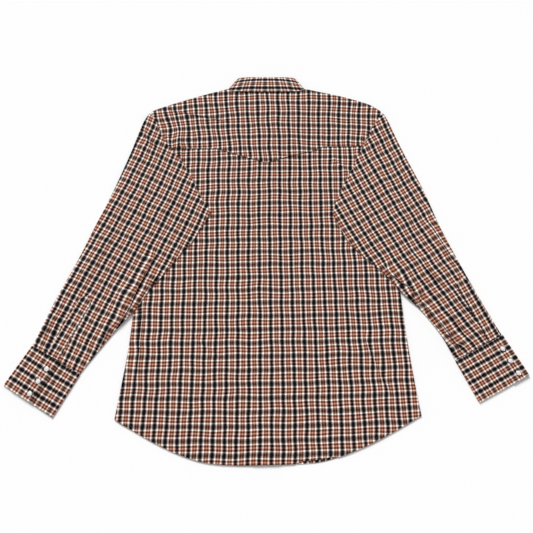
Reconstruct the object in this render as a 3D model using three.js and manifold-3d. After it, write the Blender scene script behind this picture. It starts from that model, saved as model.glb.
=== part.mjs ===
// A western snap shirt laid flat on a table with its back up: two fronts on the table,
// the back and its pointed yoke over them, and the sleeves folded down across the back.
// Millimetres. X runs across the shirt, Y from hem to collar, Z up from the table.
import * as THREE from "three";
import { mergeVertices } from "three/addons/utils/BufferGeometryUtils.js";
import Module from "manifold-3d";

const wasm = await Module();
wasm.setup();

// Cloth
const CLOTH = 1.0; // one wall of shirting
const YOKE_CLOTH = 1.4; // the yoke is cut double
const CUFF_CLOTH = 1.4; // cuffs are double, with an interlining
const SEAM_GAP = 0.3; // clear distance between pieces that are sewn together
const LAYER = CLOTH + SEAM_GAP; // rise from one layer to the next

// Edge of the body, from the shoulder tip down the armhole and the side to the hem corner.
const BODY_EDGE = [
  { y: 343, left: -260, right: 259 },
  { y: 330, left: -260, right: 259 },
  { y: 316, left: -252, right: 251 },
  { y: 300, left: -244, right: 243 },
  { y: 240, left: -229, right: 229 },
  { y: 180, left: -233, right: 233 },
  { y: 130, left: -252, right: 251 },
  { y: 95, left: -270, right: 271 },
  { y: 0, left: -271, right: 274 },
  { y: -101, left: -272, right: 278 },
  { y: -203, left: -278, right: 286 },
  { y: -300, left: -290, right: 297 },
  { y: -350, left: -297, right: 304 },
];
const UNDERARM_Y = 95;
const SHOULDER_Y = 343;

// Shirt-tail hem, seen from the back.
const HEM = [
  { x: -297, y: -349 },
  { x: -285, y: -357 },
  { x: -261, y: -370 },
  { x: -217, y: -394 },
  { x: -168, y: -416 },
  { x: -118, y: -431 },
  { x: -60, y: -436 },
  { x: 0, y: -435.5 },
  { x: 60, y: -433.5 },
  { x: 106, y: -429 },
  { x: 155, y: -415 },
  { x: 208, y: -393 },
  { x: 256, y: -368 },
  { x: 304, y: -341 },
];
const TAIL_SHOWS = { from: 50, to: 142, by: 5 }; // the front tail hangs below the back one here

// Neck and shoulders
const NECK_HALF = 84;
const NECK_SIDE_Y = 402;
const BACK_NECK_DROP = 6;
const FRONT_NECK_DROP = 80;
const SHOULDER_LEFT = [
  { x: -260, y: 342 },
  { x: -248, y: 348 },
  { x: -224, y: 357.5 },
  { x: -195, y: 368 },
  { x: -132, y: 389 },
  { x: -84, y: 402 },
];
const SHOULDER_RIGHT = [
  { x: 84, y: 402 },
  { x: 143, y: 389 },
  { x: 180, y: 379 },
  { x: 214, y: 368 },
  { x: 238, y: 358 },
  { x: 259, y: 343 },
];

// Yoke seam: level at the sides, with one point at the centre back.
const YOKE_SIDE_Y = 253;
const YOKE_POINT_Y = 213;
const YOKE_BREAK_X = 125;

// Front band
const BAND_HALF = 18;
const BAND_SNAPS = 7;
const BAND_SNAP_TOP_Y = 232;
const BAND_SNAP_PITCH = 92;
const COLLAR_SNAP_Y = 336;

// Snap caps
const SNAP_RADIUS = 5.6;
const SNAP_HEIGHT = 2.2;
const BAND_SNAP_HEIGHT = 1.0; // pressed level with the band where the shirt lies on it

// Lofted height of the back over the fronts, and the broad soft ridges in it.
const BACK_LOFT = 0.7;
const BACK_RIDGES = [
  { from: [-182, 306], to: [-212, 222], width: 15, height: 2.4 },
  { from: [-234, 290], to: [-214, 246], width: 11, height: 1.8 },
  { from: [224, 300], to: [204, 224], width: 13, height: 2.0 },
  { from: [140, 232], to: [188, 178], width: 13, height: 1.6 },
  { from: [-258, -80], to: [-247, -225], width: 13, height: 1.9 },
  { from: [262, -85], to: [268, -210], width: 13, height: 1.7 },
  { from: [204, -275], to: [250, -325], width: 13, height: 1.4 },
];

// Each sleeve: outer fold, inner fold, armhole seam across the back, and the cuff's corners.
const SLEEVES = {
  left: {
    side: -1,
    outer: [[-265, 337], [-282, 303], [-303, 234], [-333, 146], [-367, 60], [-399, -22], [-434, -101], [-473, -202]],
    inner: [[-118, 92], [-153, 29], [-182, -8], [-213, -50], [-241, -84], [-265, -122], [-291, -153], [-312, -178], [-349, -228], [-372, -260]],
    seam: [[-265, 337], [-249, 317], [-232, 275], [-209, 243], [-189, 216], [-162, 170], [-145, 133], [-118, 92]],
    cuff: { outerTop: [-473, -202], outerHem: [-521, -282], innerHem: [-418, -345], innerTop: [-372, -260] },
    overlap: { freeEdge: 69, underEnd: 31 },
    snapLine: 54,
    placket: { across: 49, width: 30, length: 145, lean: -4 },
    ridges: [
      { from: [-246, -20], to: [-322, -150], width: 9, height: 3.4 },
      { from: [-322, -150], to: [-352, -214], width: 8, height: 2.6 },
      { from: [-272, 250], to: [-318, 80], width: 24, height: 2.6 },
      { from: [-196, 160], to: [-250, 40], width: 22, height: 2.4 },
      { from: [-330, 60], to: [-388, -60], width: 20, height: 2.2 },
      { from: [-454, -140], to: [-470, -186], width: 7, height: 2.0 },
    ],
  },
  right: {
    side: 1,
    outer: [[264, 337], [280, 303], [306, 234], [342, 146], [371, 60], [405, -22], [440, -101], [478, -180]],
    inner: [[142, 85], [162, 44], [182, 12], [214, -20], [248, -51], [280, -90], [316, -127], [349, -172], [366, -204], [379, -232]],
    seam: [[264, 337], [248, 317], [227, 276], [205, 233], [185, 188], [163, 147], [149, 110], [142, 85]],
    cuff: { outerTop: [478, -180], outerHem: [522, -262], innerHem: [419, -316], innerTop: [379, -232] },
    overlap: { freeEdge: 34, underEnd: 6 },
    snapLine: 16,
    placket: { across: 18, width: 28, length: 145, lean: -3 },
    ridges: [
      { from: [348, 66], to: [404, -66], width: 9, height: 3.4 },
      { from: [294, 16], to: [384, -86], width: 10, height: 3.0 },
      { from: [384, -86], to: [462, -186], width: 9, height: 3.6 },
      { from: [276, -70], to: [336, -126], width: 8, height: 3.4 },
      { from: [336, -126], to: [400, -208], width: 8, height: 4.0 },
      { from: [300, -104], to: [366, -184], width: 7, height: 2.4 },
      { from: [236, 190], to: [300, 60], width: 24, height: 2.6 },
      { from: [196, 110], to: [250, 20], width: 20, height: 2.0 },
    ],
  },
};
const CUFF_SNAPS = 3;
const CUFF_SNAP_FIRST = 23.5; // from the cuff's upper seam
const CUFF_SNAP_PITCH = 28;

// Collar, from the centre back round the neck to the front point. fold and edge are places on the
// leaf's crease and on its free edge, and the heights are those of its mid-surface.
const COLLAR = [
  { fold: [0, 433], edge: [0, 394], foldZ: 5.1, middleZ: 7.4, edgeZ: 4.9 },
  { fold: [34, 433], edge: [42, 394.6], foldZ: 5.1, middleZ: 7.4, edgeZ: 4.9 },
  { fold: [57, 432], edge: [68, 396], foldZ: 5.0, middleZ: 6.9, edgeZ: 4.9 },
  { fold: [64, 430.5], edge: [80, 398], foldZ: 4.7, middleZ: 5.8, edgeZ: 4.9 },
  { fold: [67, 429.5], edge: [84.5, 403], foldZ: 4.1, middleZ: 4.6, edgeZ: 4.6 },
  { fold: [67.8, 428.6], edge: [86, 404.8], foldZ: 2.3, middleZ: 2.4, edgeZ: 2.4 },
  { fold: [66, 427], edge: [85.5, 403.6], foldZ: 0.8, middleZ: 0.8, edgeZ: 0.7 },
  { fold: [60, 420], edge: [86, 390], foldZ: 0.5, middleZ: 0.5, edgeZ: 0.5 },
  { fold: [46, 390], edge: [79, 345], foldZ: 0.5, middleZ: 0.5, edgeZ: 0.5 },
  { fold: [27, 360], edge: [64, 306], foldZ: 0.5, middleZ: 0.5, edgeZ: 0.5 },
  { fold: [8, 346], edge: [48, 272], foldZ: 0.5, middleZ: 0.5, edgeZ: 0.5 },
];
const STAND_FRONT_HEIGHT = 27;

const lerp = (a, b, t) => a + (b - a) * t;
const clamp = (t) => Math.min(1, Math.max(0, t));

function smooth(from, to, x) {
  const t = clamp((x - from) / (to - from));
  return t * t * (3 - 2 * t);
}

// A smooth curve through points of the plane, read at an even share of its length.
function planCurve(points) {
  const curve = new THREE.SplineCurve(points.map(([x, y]) => new THREE.Vector2(x, y)));
  return (share) => curve.getPointAt(clamp(share));
}

// Reads column `key` of a table whose rows are sorted along `by`, with a smooth curve between rows.
function readTable(table, by, key, at) {
  const rising = table[0][by] < table[table.length - 1][by] ? table : [...table].reverse();
  const last = rising.length - 1;
  const x = Math.min(rising[last][by], Math.max(rising[0][by], at));
  let i = 0;
  while (i < last - 1 && rising[i + 1][by] < x) i += 1;
  const slope = (k) => {
    const a = rising[Math.max(0, k - 1)];
    const b = rising[Math.min(last, k + 1)];
    return (b[key] - a[key]) / (b[by] - a[by]);
  };
  const width = rising[i + 1][by] - rising[i][by];
  const t = (x - rising[i][by]) / width;
  const t2 = t * t;
  const t3 = t2 * t;
  return (
    (2 * t3 - 3 * t2 + 1) * rising[i][key] +
    (t3 - 2 * t2 + t) * width * slope(i) +
    (3 * t2 - 2 * t3) * rising[i + 1][key] +
    (t3 - t2) * width * slope(i + 1)
  );
}

const leftEdge = (y) => readTable(BODY_EDGE, "y", "left", y);
const rightEdge = (y) => readTable(BODY_EDGE, "y", "right", y);
const frontHem = (x) => readTable(HEM, "x", "y", x);

// The back tail's hem, lifted where the front tail shows below it.
function backHem(x) {
  const middle = (TAIL_SHOWS.from + TAIL_SHOWS.to) / 2;
  const half = (TAIL_SHOWS.to - TAIL_SHOWS.from) / 2;
  return frontHem(x) + TAIL_SHOWS.by * (1 - smooth(0.55 * half, half, Math.abs(x - middle)));
}

const shoulderLine = (x) => readTable(x < 0 ? SHOULDER_LEFT : SHOULDER_RIGHT, "x", "y", x);

function backTopLine(x) {
  if (Math.abs(x) >= NECK_HALF) return shoulderLine(x);
  const t = x / NECK_HALF;
  return NECK_SIDE_Y - BACK_NECK_DROP * (1 - t * t);
}

function frontTopLine(x) {
  if (Math.abs(x) >= NECK_HALF) return shoulderLine(x);
  const t = x / NECK_HALF;
  return NECK_SIDE_Y - FRONT_NECK_DROP * Math.sqrt(Math.max(0, 1 - t * t));
}

function yokeSeam(x) {
  const t = clamp(Math.abs(x) / YOKE_BREAK_X);
  return lerp(YOKE_POINT_Y, YOKE_SIDE_Y, t);
}

// 1 where the collar leaf lies under the fronts, fading to 0 around it.
function overCollar(x, y) {
  const reach = Math.hypot(x / 105, (y - NECK_SIDE_Y) / 165);
  return 1 - smooth(0.92, 1.2, reach);
}

// 1 where the right front laps over the band, fading to 0 past its edge.
function overBand(x, y) {
  return (1 - smooth(BAND_HALF + 1.5, BAND_HALF + 16, Math.abs(x))) * (1 - smooth(345, 392, y));
}

// How far a place is outside the body, in mm, negative inside.
function outsideBody(x, y) {
  const edge = x < 0 ? leftEdge : rightEdge;
  const side = Math.sign(x) || 1;
  let nearest = Infinity;
  for (let at = -350; at <= SHOULDER_Y; at += 14) {
    nearest = Math.min(nearest, Math.hypot(x - edge(at), y - at));
  }
  const acrossOnly = side * (x - edge(y));
  return acrossOnly > 0 ? Math.min(nearest, acrossOnly) : Math.max(-nearest, acrossOnly);
}

// Height of a soft ridge that runs from one place to another and sinks towards both ends.
function ridgeHeight(ridge, x, y) {
  const [dx, dy] = [ridge.to[0] - ridge.from[0], ridge.to[1] - ridge.from[1]];
  const length = Math.hypot(dx, dy);
  const along = ((x - ridge.from[0]) * dx + (y - ridge.from[1]) * dy) / length;
  const across = ((x - ridge.from[0]) * dy - (y - ridge.from[1]) * dx) / length;
  const fade = Math.min(0.3 * length, 40);
  const ends = smooth(-fade, fade, along) * (1 - smooth(length - fade, length + fade, along));
  return ridge.height * ends * Math.exp(-((across / ridge.width) ** 2));
}

const ridgesAt = (ridges, x, y) => ridges.reduce((sum, ridge) => sum + ridgeHeight(ridge, x, y), 0);

// Top of the fronts, which the back lies on.
const frontTop = (x, y) => CLOTH + LAYER * (overCollar(x, y) + overBand(x, y));

// Underside of the back and yoke.
function backBottom(x, y) {
  const inside = -outsideBody(x, y);
  const belowTop = backTopLine(x) - y;
  const aboveHem = y - backHem(x);
  const fromEdge = Math.min(inside, belowTop, aboveHem);
  const loft = smooth(4, 45, fromEdge);
  return frontTop(x, y) + SEAM_GAP + 0.1 + loft * (BACK_LOFT + ridgesAt(BACK_RIDGES, x, y));
}

const isYoke = (x, y) => y > yokeSeam(x) - 2;
const backTop = (x, y) => backBottom(x, y) + (isYoke(x, y) ? YOKE_CLOTH : CLOTH);

// Turns a geometry whose faces point inwards the right way out.
function facingOut(geometry) {
  const position = geometry.getAttribute("position");
  const index = geometry.getIndex();
  const [a, b, c] = [new THREE.Vector3(), new THREE.Vector3(), new THREE.Vector3()];
  let volume = 0;
  for (let i = 0; i < index.count; i += 3) {
    a.fromBufferAttribute(position, index.getX(i));
    b.fromBufferAttribute(position, index.getX(i + 1));
    c.fromBufferAttribute(position, index.getX(i + 2));
    volume += a.dot(b.cross(c));
  }
  if (volume < 0) {
    for (let i = 0; i < index.count; i += 3) {
      const second = index.getX(i + 1);
      index.setX(i + 1, index.getX(i + 2));
      index.setX(i + 2, second);
    }
  }
  return geometry;
}

// A closed wall of cloth on a grid of mid-surface points. grid[i][j] holds the places, and
// `ring` joins the last i to the first, which makes a tube.
function clothWall(grid, thickness, ring = false) {
  const across = grid.length;
  const along = grid[0].length;
  const at = (i, j) => {
    const wrapped = ring ? (i + across) % across : Math.min(across - 1, Math.max(0, i));
    return grid[wrapped][Math.min(along - 1, Math.max(0, j))];
  };
  const places = [];
  const offset = [];
  for (const sign of [1, -1]) {
    offset.push(places.length / 3);
    for (let i = 0; i < across; i += 1) {
      for (let j = 0; j < along; j += 1) {
        const u = new THREE.Vector3().subVectors(at(i + 1, j), at(i - 1, j));
        const v = new THREE.Vector3().subVectors(at(i, j + 1), at(i, j - 1));
        const normal = u.cross(v).normalize();
        const place = at(i, j).clone().addScaledVector(normal, (sign * thickness) / 2);
        places.push(place.x, place.y, place.z);
      }
    }
  }
  const faces = [];
  const id = (layer, i, j) => offset[layer] + (i % across) * along + j;
  const quad = (a, b, c, d) => faces.push(a, b, c, a, c, d);
  const spans = ring ? across : across - 1;
  for (let i = 0; i < spans; i += 1) {
    for (let j = 0; j < along - 1; j += 1) {
      quad(id(0, i, j), id(0, i + 1, j), id(0, i + 1, j + 1), id(0, i, j + 1));
      quad(id(1, i, j), id(1, i, j + 1), id(1, i + 1, j + 1), id(1, i + 1, j));
    }
    quad(id(1, i, 0), id(1, i + 1, 0), id(0, i + 1, 0), id(0, i, 0));
    quad(id(0, i, along - 1), id(0, i + 1, along - 1), id(1, i + 1, along - 1), id(1, i, along - 1));
  }
  if (!ring) {
    for (let j = 0; j < along - 1; j += 1) {
      quad(id(0, 0, j), id(0, 0, j + 1), id(1, 0, j + 1), id(1, 0, j));
      quad(id(1, across - 1, j), id(1, across - 1, j + 1), id(0, across - 1, j + 1), id(0, across - 1, j));
    }
  }
  const geometry = new THREE.BufferGeometry();
  geometry.setAttribute("position", new THREE.Float32BufferAttribute(places, 3));
  geometry.setIndex(faces);
  return facingOut(geometry);
}

// A panel of the body: columns are shares of its width, rows run from its bottom to its top line.
function bodyPanel({ columns, rows, left, right, bottom, top, middleZ }) {
  const meet = (line, share, start) => {
    let y = start;
    for (let step = 0; step < 8; step += 1) y = line(lerp(left(y), right(y), share));
    return y;
  };
  return columns.map((share) => {
    const low = meet(bottom, share, -300);
    const high = meet(top, share, 300);
    return rows.map((rise) => {
      const y = lerp(low, high, rise);
      const x = lerp(left(y), right(y), share);
      return new THREE.Vector3(x, y, middleZ(x, y));
    });
  });
}

function evenly(count) {
  return Array.from({ length: count + 1 }, (_, i) => i / count);
}

// Shares of the width that put columns on the neck's corners, the yoke's breaks and the band.
const HALF_COLUMNS = [0, 0.036, 0.07, 0.115, 0.163, 0.215, 0.272, 0.33, 0.385, 0.44, 0.475, 0.5];
const BACK_COLUMNS = [...HALF_COLUMNS.slice(1).reverse().map((h) => 0.5 - h), ...HALF_COLUMNS.map((h) => 0.5 + h)];

function backBody() {
  return clothWall(
    bodyPanel({
      columns: BACK_COLUMNS,
      rows: evenly(21),
      left: leftEdge,
      right: rightEdge,
      bottom: backHem,
      top: (x) => yokeSeam(x) - SEAM_GAP,
      middleZ: (x, y) => backBottom(x, y) + CLOTH / 2,
    }),
    CLOTH,
  );
}

function backYoke() {
  return clothWall(
    bodyPanel({
      columns: BACK_COLUMNS,
      rows: evenly(7),
      left: leftEdge,
      right: rightEdge,
      bottom: yokeSeam,
      top: backTopLine,
      middleZ: (x, y) => backBottom(x, y) + YOKE_CLOTH / 2,
    }),
    YOKE_CLOTH,
  );
}

// A front's columns, as places across its top: closest together where the neckline is steep.
const NECK_ANGLES = [13, 22, 31, 40, 49, 58, 67, 76, 90];
const neckX = (degrees) => NECK_HALF * Math.sin(THREE.MathUtils.degToRad(degrees));
const FRONT_TOP_X = [...NECK_ANGLES.map(neckX), 106, 132, 160, 190, 226, 262];
const FRONT_ROWS = [0, 0.07, 0.15, 0.24, 0.34, 0.44, 0.54, 0.62, 0.67, 0.72, 0.77, 0.82, 0.87, 0.91, 0.95, 0.98, 1];

const frontZ = (x, y) => CLOTH / 2 + LAYER * (overCollar(x, y) + overBand(x, y));

function frontLeft() {
  const inner = -BAND_HALF - SEAM_GAP;
  const outer = leftEdge(SHOULDER_Y);
  return clothWall(
    bodyPanel({
      columns: FRONT_TOP_X.map((x) => clamp((Math.max(-x, outer) - inner) / (outer - inner))),
      rows: FRONT_ROWS,
      left: () => inner,
      right: leftEdge,
      bottom: frontHem,
      top: frontTopLine,
      middleZ: (x, y) => CLOTH / 2 + LAYER * overCollar(x, y),
    }),
    CLOTH,
  );
}

// The right front laps over the whole band, so its edge columns ride one layer higher.
function frontRight() {
  const foot = BAND_HALF + 14;
  const outer = rightEdge(SHOULDER_Y);
  const lap = [-BAND_HALF + 2, -BAND_HALF / 2, 0, BAND_HALF / 2, BAND_HALF + 2.5];
  const free = FRONT_TOP_X.filter((x) => x > foot + 4).map((x) => clamp((Math.min(x, outer) - foot) / (outer - foot)));
  const lapGrid = lap.map((x) => {
    const [low, high] = [frontHem(x), frontTopLine(x)];
    return FRONT_ROWS.map((rise) => {
      const y = lerp(low, high, rise);
      return new THREE.Vector3(x, y, frontZ(x, y));
    });
  });
  const freeGrid = bodyPanel({
    columns: [0, ...free],
    rows: FRONT_ROWS,
    left: () => foot,
    right: rightEdge,
    bottom: frontHem,
    top: frontTopLine,
    middleZ: frontZ,
  });
  return clothWall([...lapGrid, ...freeGrid], CLOTH);
}

const bandSnapPlaces = () =>
  Array.from({ length: BAND_SNAPS }, (_, i) => BAND_SNAP_TOP_Y - i * BAND_SNAP_PITCH);

// A three.js geometry as a solid for cutting, and back.
function toSolid(geometry) {
  const bare = geometry.clone();
  bare.deleteAttribute("normal");
  bare.deleteAttribute("uv");
  const merged = mergeVertices(bare, 1e-3);
  return new wasm.Manifold(
    new wasm.Mesh({
      numProp: 3,
      vertProperties: new Float32Array(merged.getAttribute("position").array),
      triVerts: new Uint32Array(merged.getIndex().array),
    }),
  );
}

function toGeometry(solid) {
  const mesh = solid.getMesh();
  const geometry = new THREE.BufferGeometry();
  geometry.setAttribute("position", new THREE.Float32BufferAttribute(Array.from(mesh.vertProperties), 3));
  geometry.setIndex(Array.from(mesh.triVerts));
  return geometry;
}

// The front band, with a round seat for each snap cap.
function frontBand() {
  const columns = [-BAND_HALF, -BAND_HALF / 2, 0, BAND_HALF / 2, BAND_HALF];
  const grid = columns.map((x) =>
    FRONT_ROWS.map((rise) => {
      const y = lerp(frontHem(x), frontTopLine(x), rise);
      return new THREE.Vector3(x, y, CLOTH / 2 + LAYER * overCollar(x, y));
    }),
  );
  let solid = toSolid(clothWall(grid, CLOTH));
  for (const y of bandSnapPlaces()) {
    const seat = new THREE.CylinderGeometry(SNAP_RADIUS + SEAM_GAP, SNAP_RADIUS + SEAM_GAP, 12, 18);
    seat.rotateX(Math.PI / 2);
    seat.translate(0, y, 0);
    solid = solid.subtract(toSolid(seat));
  }
  return toGeometry(solid);
}

// A snap: a domed cap in a rolled metal rim, on its flat back.
function snapCap(height, segments) {
  const r = SNAP_RADIUS;
  const profile = [
    [0, 0],
    [r * 0.92, 0],
    [r, height * 0.4],
    [r * 0.93, height * 0.8],
    [r * 0.78, height * 0.78],
    [r * 0.4, height * 0.95],
    [0, height],
  ].map(([x, y]) => new THREE.Vector2(x, y));
  const cap = new THREE.LatheGeometry(profile, segments);
  cap.rotateX(Math.PI / 2);
  return cap;
}

// Where the sleeve's mid-surface is, in plan, for a station along it and a share across it.
function sleevePlan(sleeve) {
  const outer = planCurve(sleeve.outer);
  const inner = planCurve(sleeve.inner);
  const seam = planCurve(sleeve.seam);
  const edge = sleeve.side < 0 ? leftEdge : rightEdge;
  const straight = (station, share) => outer(station).clone().lerp(inner(station), share);
  const upper = (station, share) => {
    const bend = seam(share).clone().sub(straight(0, share));
    return straight(station, share).addScaledVector(bend, 1 - smooth(0, 0.3, station));
  };
  // The underside starts on the front armhole, and then crosses the body to the inner fold.
  const underarmShare = 0.56;
  const frontArmhole = (share) => {
    if (share < underarmShare) {
      const y = lerp(sleeve.outer[0][1], UNDERARM_Y, share / underarmShare);
      const clear = sleeve.side * (share === 0 ? 0 : 2.5);
      return new THREE.Vector2(share === 0 ? sleeve.outer[0][0] : edge(y) + clear, y);
    }
    const underarm = new THREE.Vector2(edge(UNDERARM_Y) + sleeve.side * 2.5, UNDERARM_Y);
    return underarm.lerp(inner(0), (share - underarmShare) / (1 - underarmShare));
  };
  const lower = (station, share) => {
    const shift = frontArmhole(share).sub(upper(0, share));
    return upper(station, share).addScaledVector(shift, 1 - clamp(station / 0.5));
  };
  return { outer, inner, upper, lower };
}

// Flat ground under the sleeve placket, so that its strip lies true.
function placketCalm(sleeve, station, share, width) {
  const nearCuff = smooth(0.6, 0.78, station);
  const offset = Math.abs(share * width - sleeve.placket.across * (width / 114));
  return 1 - nearCuff * (1 - smooth(sleeve.placket.width * 0.6, sleeve.placket.width * 1.1, offset));
}

// Mid-surface of a sleeve as rings of points: the underside, the inner fold, the upper side
// and the outer fold.
function sleeveRings(sleeve, stations, acrossCount) {
  const plan = sleevePlan(sleeve);
  const length = sleeve.side < 0 ? 590 : 570;
  const lowerZ = (x, y) => {
    const out = outsideBody(x, y);
    const onBody = 1 - smooth(12, 42, out);
    const belowArmhole = 1 - smooth(UNDERARM_Y + 30, UNDERARM_Y + 90, y);
    return lerp(CLOTH / 2, backTop(x, y) + SEAM_GAP + CLOTH / 2 + 0.3, onBody * belowArmhole);
  };
  const upperZ = (x, y, station, share, width) => {
    const out = outsideBody(x, y);
    const onBody = 1 - smooth(12, 42, out);
    const rest = lerp(CLOTH / 2, backTop(x, y) + SEAM_GAP + CLOTH / 2 + 0.3, onBody);
    const fromSeam = station * length;
    const lift = lerp(0.15, LAYER + 0.4, smooth(2, 22, fromSeam));
    const fromFold = Math.min(share, 1 - share) * width;
    const calm = placketCalm(sleeve, station, share, width);
    const ridges = ridgesAt(sleeve.ridges, x, y) * smooth(3, 20, fromFold) * calm;
    return rest + lift + ridges * smooth(0, 60, fromSeam);
  };
  const spread = (t) => 0.5 - (0.5 * Math.cos(Math.PI * lerp(0.12, 0.88, t))) / Math.cos(0.12 * Math.PI);
  return stations.map((station) => {
    const width = plan.outer(station).distanceTo(plan.inner(station));
    const inset = FOLD_BULGE / width;
    const shares = evenly(acrossCount).map((t) => lerp(inset, 1 - inset, spread(t)));
    const flat = (place, z) => new THREE.Vector3(place.x, place.y, z);
    const under = shares.map((share) => {
      const place = plan.lower(station, share);
      return flat(place, lowerZ(place.x, place.y));
    });
    const over = shares.map((share) => {
      const place = plan.upper(station, share);
      return flat(place, upperZ(place.x, place.y, station, share, width));
    });
    const fold = (low, high, outward) =>
      [-60, -20, 20, 60].map((degrees) => {
        const angle = THREE.MathUtils.degToRad(degrees);
        const rise = (high.z - low.z) / 2;
        const out = Math.min(rise, FOLD_BULGE) * Math.cos(angle);
        const place = low.clone().lerp(high, 0.5 + 0.5 * Math.sin(angle)).addScaledVector(outward, out);
        place.z = (low.z + high.z) / 2 + rise * Math.sin(angle);
        return place;
      });
    const outward = flat(plan.outer(station), 0).sub(flat(plan.inner(station), 0)).normalize();
    const last = shares.length - 1;
    const innerFold = fold(under[last], over[last], outward.clone().negate());
    const outerFold = fold(under[0], over[0], outward).reverse();
    return [...under, ...innerFold, ...over.reverse(), ...outerFold];
  });
}

// Rings are listed along the sleeve, and the wall wants them the other way about.
const turned = (rings) => rings[0].map((_, i) => rings.map((ring) => ring[i]));

const FOLD_BULGE = 1.6; // how far a fold's roll stands out past the last point of its flat sides
const SLEEVE_STATIONS = [0, 0.02, 0.05, 0.09, 0.14, 0.2, 0.26, 0.32, 0.39, 0.46, 0.53, 0.6, 0.67, 0.74, 0.81, 0.88, 0.95, 0.9985];
const SLEEVE_COLUMNS = 10;

function sleeveWall(sleeve) {
  return clothWall(turned(sleeveRings(sleeve, SLEEVE_STATIONS, SLEEVE_COLUMNS)), CLOTH, true);
}

// The pointed strip over the sleeve's slit, laid on the sleeve's own upper side.
function sleevePlacket(sleeve) {
  const { across, width, length, lean } = sleeve.placket;
  const { outerTop, innerTop } = sleeve.cuff;
  const start = new THREE.Vector2(...outerTop);
  const toInner = new THREE.Vector2(...innerTop).sub(start).normalize();
  const up = new THREE.Vector2(-toInner.y, toInner.x).multiplyScalar(-sleeve.side);
  const tilt = THREE.MathUtils.degToRad(lean * sleeve.side);
  up.rotateAround(new THREE.Vector2(), tilt);
  const side = new THREE.Vector2(toInner.x, toInner.y).rotateAround(new THREE.Vector2(), tilt);
  const foot = start.clone().addScaledVector(toInner, across).addScaledVector(up, 1.5);
  const surface = upperSurface(sleeve);
  const tipLength = width * 0.55;
  const grid = [-0.5, -0.25, 0, 0.25, 0.5].map((share) => {
    const top = length - tipLength * Math.abs(share) * 2;
    return evenly(10).map((rise) => {
      const place = foot.clone().addScaledVector(side, share * width).addScaledVector(up, rise * top);
      return new THREE.Vector3(place.x, place.y, surface(place.x, place.y) + CLOTH + SEAM_GAP + 0.25);
    });
  });
  return clothWall(grid, CLOTH);
}

// Height of the sleeve's upper mid-surface over any place, from its own mesh.
function upperSurface(sleeve) {
  const rings = sleeveRings(sleeve, SLEEVE_STATIONS, SLEEVE_COLUMNS);
  const first = SLEEVE_COLUMNS + 1 + 4;
  const points = rings.flatMap((ring) => ring.slice(first, first + SLEEVE_COLUMNS + 1));
  return (x, y) => {
    const near = points
      .map((p) => ({ z: p.z, d: Math.hypot(p.x - x, p.y - y) }))
      .sort((a, b) => a.d - b.d)
      .slice(0, 6);
    return Math.max(...near.map((p) => p.z));
  };
}

// A cuff: one stiff strip from its free edge, round both folds, to the end under the overlap.
function cuffWall(sleeve) {
  const { outerTop, outerHem, innerHem, innerTop } = sleeve.cuff;
  const { freeEdge, underEnd } = sleeve.overlap;
  const low = CUFF_CLOTH / 2;
  const rise = CUFF_CLOTH + SEAM_GAP;
  const radius = rise / 2;
  const width = Math.hypot(innerTop[0] - outerTop[0], innerTop[1] - outerTop[1]);
  const path = [];
  const overlapZ = (across) => low + rise * (1 + smooth(underEnd - 20, underEnd - 5, across));
  for (const share of evenly(7)) {
    const across = lerp(freeEdge, radius, share);
    path.push([across, overlapZ(across)]);
  }
  const outerRise = (overlapZ(radius) - low) / 2;
  for (const degrees of [60, 20, -20, -60]) {
    const angle = THREE.MathUtils.degToRad(degrees);
    path.push([radius - outerRise * Math.cos(angle), low + outerRise * (1 + Math.sin(angle))]);
  }
  for (const share of evenly(5)) path.push([lerp(radius, width - radius, share), low]);
  for (const degrees of [-60, -20, 20, 60]) {
    const angle = THREE.MathUtils.degToRad(degrees);
    path.push([width - radius + radius * Math.cos(angle), low + radius * (1 + Math.sin(angle))]);
  }
  for (const share of evenly(4)) path.push([lerp(width - radius, underEnd, share), low + rise]);
  const seamInset = SEAM_GAP / 88;
  const grid = path.map(([across, z]) =>
    [seamInset, 0.34, 0.67, 1].map((down) => {
      const share = across / width;
      const x = lerp(lerp(outerTop[0], innerTop[0], share), lerp(outerHem[0], innerHem[0], share), down);
      const y = lerp(lerp(outerTop[1], innerTop[1], share), lerp(outerHem[1], innerHem[1], share), down);
      return new THREE.Vector3(x, y, z);
    }),
  );
  return clothWall(grid, CUFF_CLOTH);
}

function cuffSnapPlaces(sleeve) {
  const { outerTop, outerHem, innerHem, innerTop } = sleeve.cuff;
  const width = Math.hypot(innerTop[0] - outerTop[0], innerTop[1] - outerTop[1]);
  const height = Math.hypot(outerHem[0] - outerTop[0], outerHem[1] - outerTop[1]);
  const share = sleeve.snapLine / width;
  return Array.from({ length: CUFF_SNAPS }, (_, i) => {
    const down = (CUFF_SNAP_FIRST + i * CUFF_SNAP_PITCH) / height;
    const x = lerp(lerp(outerTop[0], innerTop[0], share), lerp(outerHem[0], innerHem[0], share), down);
    const y = lerp(lerp(outerTop[1], innerTop[1], share), lerp(outerHem[1], innerHem[1], share), down);
    return [x, y];
  });
}

const CUFF_TOP = 3 * CUFF_CLOTH + 2 * SEAM_GAP;

// Sections of the collar from the left point round the back to the right point.
function collarSections() {
  const mirrored = COLLAR.slice(1).map((s) => ({ ...s, fold: [-s.fold[0], s.fold[1]], edge: [-s.edge[0], s.edge[1]] }));
  return [...mirrored.reverse(), ...COLLAR];
}

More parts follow.
